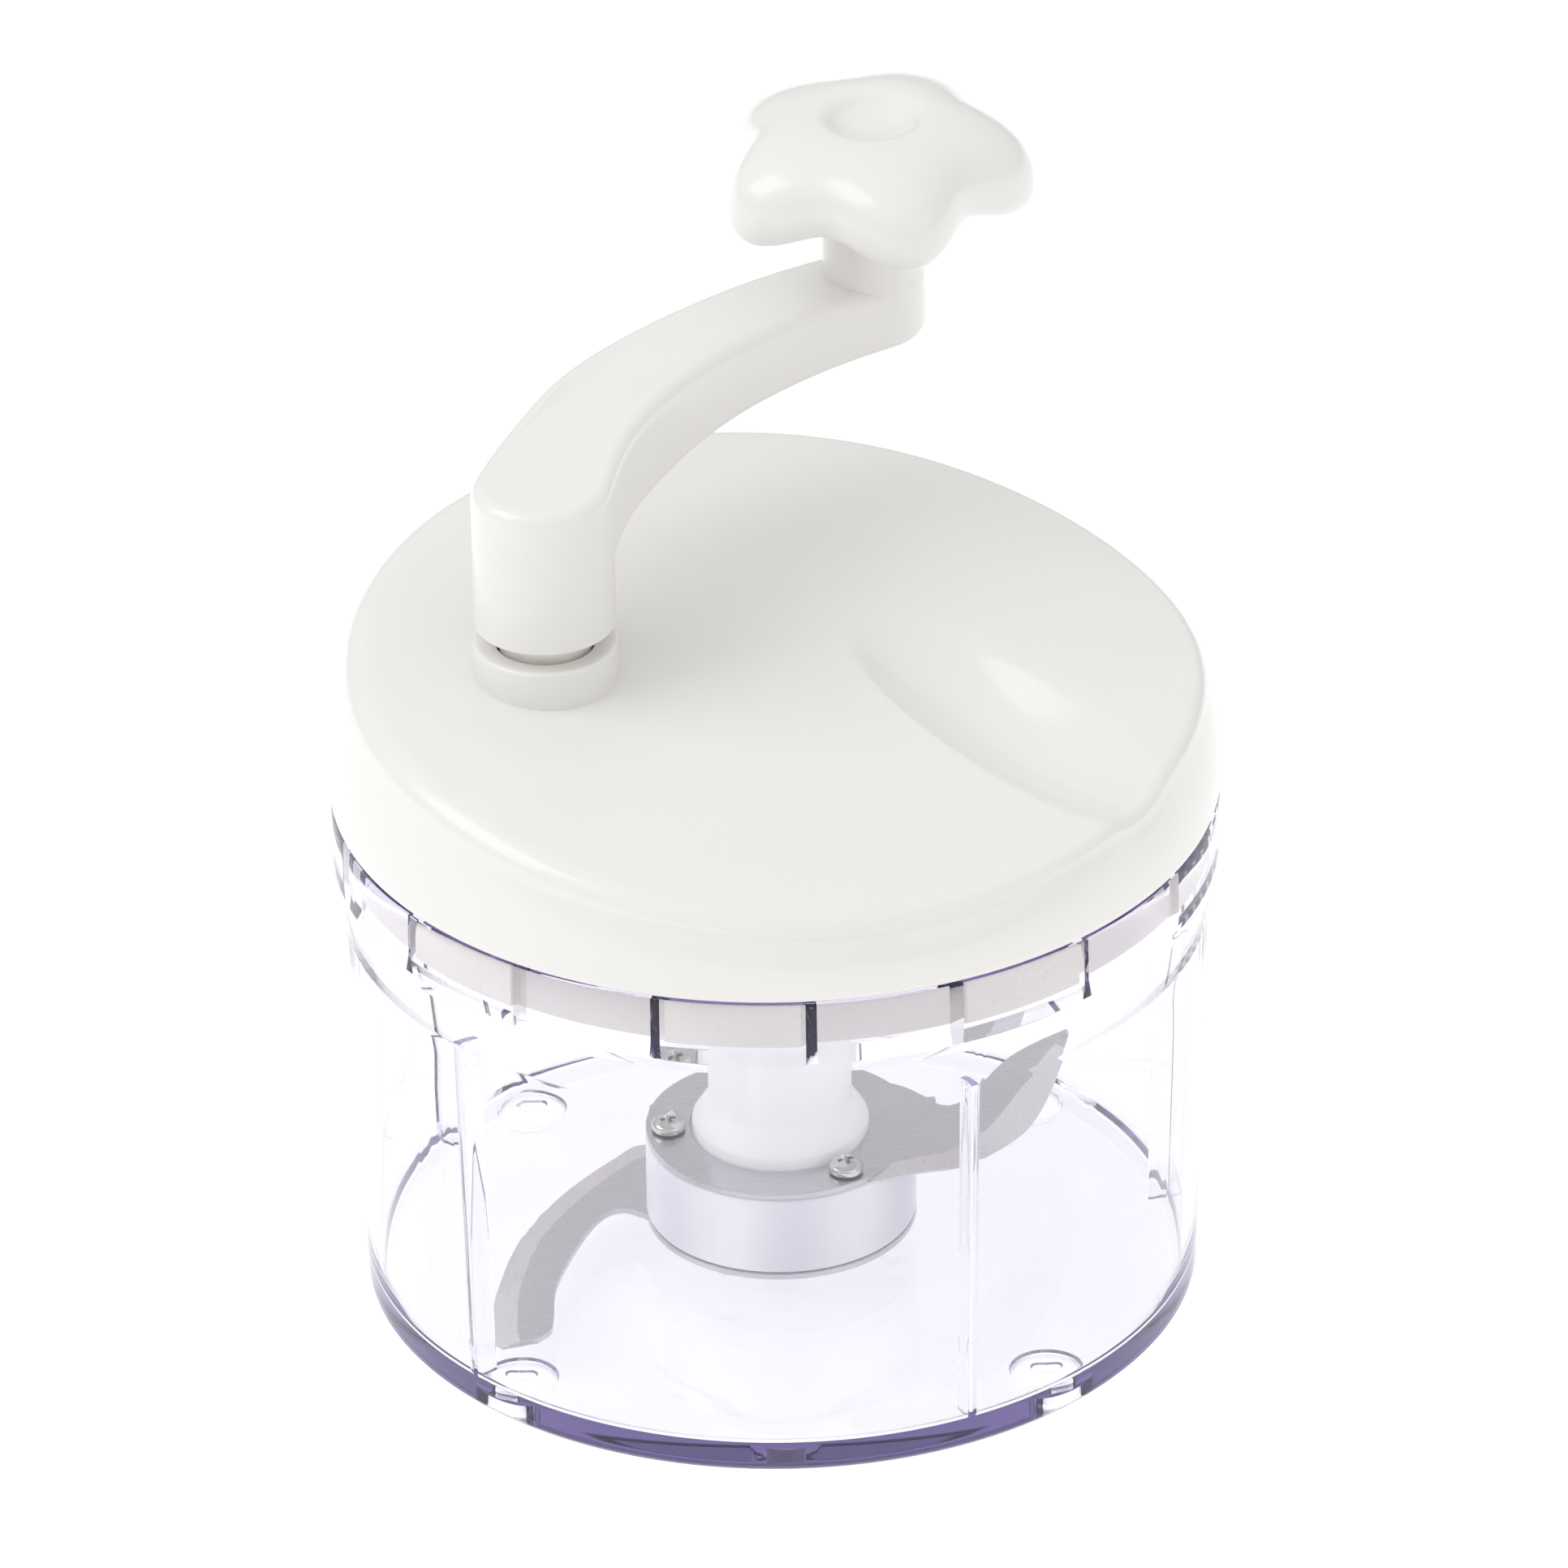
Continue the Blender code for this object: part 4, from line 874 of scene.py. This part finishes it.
def make_blades(mats):
    upper = low("upper_blade")
    edge = [(12.0, -17.5), (21.5, -14.2), (28.6, -12.4), (34.6, -7.4), (39.6, -0.6), (43.6, 10.0),
            (45.6, 19.0), (47.2, 27.4)]
    grind = [(12.5, -14.0), (21.0, -11.0), (26.5, -9.0), (31.4, -4.6), (35.6, 2.6), (39.6, 11.6),
             (43.0, 19.6), (46.9, 27.5)]
    back = [(13.5, 13.5), (19.6, 11.0), (26.3, 4.8), (30.3, 7.9), (33.6, 13.6), (37.2, 19.6),
            (41.8, 24.2), (46.5, 27.7)]
    make_blade("upper_blade_ground", "upper_blade", 14.5, upper, wing(edge, grind, back, upper + 0.01, 0.0),
               UPPER_SCREWS, mats)
    bottom = DRUM_BOTTOM - 0.3 - BLADE_THICKNESS
    edge = [(-10.0, 18.6), (-21.7, 20.0), (-26.5, 16.6), (-35.4, 4.9), (-41.8, -8.5), (-44.9, -23.0),
            (-45.5, -32.0), (-45.3, -36.6), (-43.6, -39.0)]
    grind = [(-12.0, 15.4), (-21.0, 15.4), (-25.0, 12.6), (-32.6, 2.2), (-38.6, -10.0), (-41.2, -23.0),
             (-41.5, -31.5), (-41.4, -35.7), (-40.9, -38.3)]
    back = [(-12.0, -8.0), (-20.5, -3.2), (-25.4, -0.5), (-29.2, -3.4), (-32.9, -12.6), (-35.6, -23.0),
            (-35.9, -32.0), (-36.3, -35.4), (-38.2, -37.6)]
    make_blade("lower_blade_ground", "lower_blade", 7.2, bottom, wing(edge, grind, back, bottom + 0.01, 1.4),
               LOWER_SCREWS, mats)


def screw_shape(head_radius, shank_radius, seat, head_height, length, way, x, y):
    """Pan-head screw about (x, y); its seat is the underside of the head, and way is +1 for up."""
    top = seat + way * head_height
    profile = [(0.0, top)]
    for k in range(1, 8):
        a = radians(11.0 * k)
        profile.append((head_radius * 0.98 * sin(a) / sin(radians(77.0)),
                        top - way * head_height * 0.55 * (1 - cos(a)) / (1 - cos(radians(77.0)))))
    profile += [(head_radius, seat + way * head_height * 0.3), (head_radius, seat + way * 0.12),
                (head_radius - 0.12, seat), (shank_radius, seat), (shank_radius, seat - way * length),
                (0.0, seat - way * length)]
    return turned(profile, 48, x, y), top, way, (x, y), head_radius


def make_screw(name, screw, body, node_name, mats):
    shape, top, way, (x, y), head_radius = screw
    obj = to_object(name, shape)
    for turn in (20.0, 110.0):
        a = radians(turn)
        along, side = Vector((cos(a), sin(a))), Vector((-sin(a), cos(a)))
        rings = []
        for z, half_length, half_width in ((top + way * 0.5, head_radius * 0.62, 0.42),
                                           (top - way * 1.1, head_radius * 0.3, 0.3)):
            corners = ((1, 1), (-1, 1), (-1, -1), (1, -1))
            rings.append([(*(Vector((x, y)) + along * u * half_length + side * v * half_width), z)
                          for u, v in corners])
        carve(obj, "DIFFERENCE", skin(rings))
    finish_piece(obj, body, [node_name], mats["screw"], 35.0)


def make_blade_screws(mats):
    upper_seat = high("upper_blade") + 0.3
    lower_seat = DRUM_BOTTOM - 0.6 - BLADE_THICKNESS
    for i, b in enumerate(UPPER_SCREWS):
        screw = screw_shape(2.75, 1.2, upper_seat, 2.0, 9.0, 1.0, *bearing_point(SCREW_CIRCLE, b))
        make_screw(f"upper_screw_head_{i + 1}", screw, "blades", f"upper_screw_{i + 1}", mats)
    for i, b in enumerate(LOWER_SCREWS):
        screw = screw_shape(2.4, 1.2, lower_seat, 1.4, 9.0, -1.0, *bearing_point(SCREW_CIRCLE, b))
        make_screw(f"lower_screw_head_{i + 1}", screw, "blades", f"lower_screw_{i + 1}", mats)


# ---------------------------------------------------------------- hidden CAD nodes

def repaint_hidden_nodes(mats):
    finishes = {"drive_gear": "gear", "pinion_gear": "gear", "crank_shaft": "steel", "gear_washer": "steel",
                "gear_screw": "screw"}
    for name, finish in finishes.items():
        obj = frame["nodes"][name]
        obj.data.materials.clear()
        obj.data.materials.append(mats[finish])


# ---------------------------------------------------------------- stage, light and camera

LONGEST_PATH = 40  # light's turns inside the clear bowl's floor, from wall to wall


def make_floor():
    """Pale floor that glows like a light table, as under a product photograph."""
    half = 4000.0
    corners = [(-half, -half, 0), (half, -half, 0), (half, half, 0), (-half, half, 0)]
    floor = to_object("floor", (corners, [[0, 1, 2, 3]]))
    mat = new_material("floor_paper", (0.3, 0.3, 0.3), 0.9, emission_color=(1.0, 1.0, 1.0, 1.0),
                       emission_strength=0.95, specular_ior_level=0.0)
    floor.data.materials.append(mat)


def make_world():
    """Even studio sky: bright overhead, dimmer and warmer towards the horizon."""
    world = bpy.data.worlds.new("studio")
    bpy.context.scene.world = world
    world.use_nodes = True
    direction = node(world, "ShaderNodeTexCoord")
    split = node(world, "ShaderNodeSeparateXYZ")
    ramp = node(world, "ShaderNodeValToRGB")
    stops = ((0.0, (0.36, 0.34, 0.33)), (0.12, (0.54, 0.52, 0.50)), (0.5, (0.81, 0.80, 0.79)),
             (1.0, (1.0, 1.0, 1.0)))
    for i, (place, color) in enumerate(stops):
        stop = ramp.color_ramp.elements[i] if i < 2 else ramp.color_ramp.elements.new(place)
        stop.position, stop.color = place, (*color, 1.0)
    link(world, direction, "Generated", split, "Vector")
    link(world, split, "Z", ramp, "Fac")
    link(world, ramp, "Color", world.node_tree.nodes["Background"], "Color")


def softbox(name, azimuth, elevation, distance, width, height, power, color):
    light = bpy.data.lights.new(name, "AREA")
    light.shape, light.size, light.size_y = "RECTANGLE", width, height
    light.energy, light.color = power, color
    obj = bpy.data.objects.new(name, light)
    bpy.context.scene.collection.objects.link(obj)
    a, e = radians(azimuth), radians(elevation)
    direction = Vector((sin(a) * cos(e), -cos(a) * cos(e), sin(e)))
    obj.location = Vector((0.0, 0.0, 0.1)) + direction * distance
    obj.rotation_mode = "QUATERNION"
    obj.rotation_quaternion = direction.to_track_quat("Z", "Y")


def make_camera():
    """Long lens from the front, 30 degrees up, turned very slightly about its own axis."""
    data = bpy.data.cameras.new("camera")
    data.sensor_width, data.lens = 36.0, 437.6
    data.clip_start, data.clip_end = 0.1, 50.0
    target = Vector((0.001383, 0.0, 0.086904))
    camera = bpy.data.objects.new("camera", data)
    bpy.context.scene.collection.objects.link(camera)
    elevation, roll, distance = 0.52506, -0.01512, 3.0
    back = Vector((0.0, -cos(elevation), sin(elevation)))
    right, up = Vector((1.0, 0.0, 0.0)), Vector((0.0, sin(elevation), cos(elevation)))
    axes = Matrix((right * cos(roll) + up * sin(roll), up * cos(roll) - right * sin(roll), back)).transposed()
    camera.matrix_world = Matrix.Translation(target + back * distance) @ axes.to_4x4()
    bpy.context.scene.camera = camera


def main():
    mats = make_materials()
    make_bowl(mats)
    make_feet(mats)
    make_spindle(mats)
    make_lid(mats)
    make_gear_cover(mats)
    make_crank(mats)
    make_shaft_parts(mats)
    make_knob(mats)
    make_holder(mats)
    make_blades(mats)
    make_blade_screws(mats)
    repaint_hidden_nodes(mats)

    make_floor()
    make_world()
    softbox("key", -80.0, 44.0, 1.2, 0.8, 0.8, 4.0, (1.0, 1.0, 1.0))
    softbox("fill", 50.0, 20.0, 1.2, 0.8, 0.6, 1.0, (1.0, 0.96, 0.92))
    make_camera()
    bpy.context.scene.view_settings.view_transform = "Standard"
    paths = bpy.context.scene.cycles
    paths.max_bounces = paths.glossy_bounces = paths.transmission_bounces = LONGEST_PATH


main()
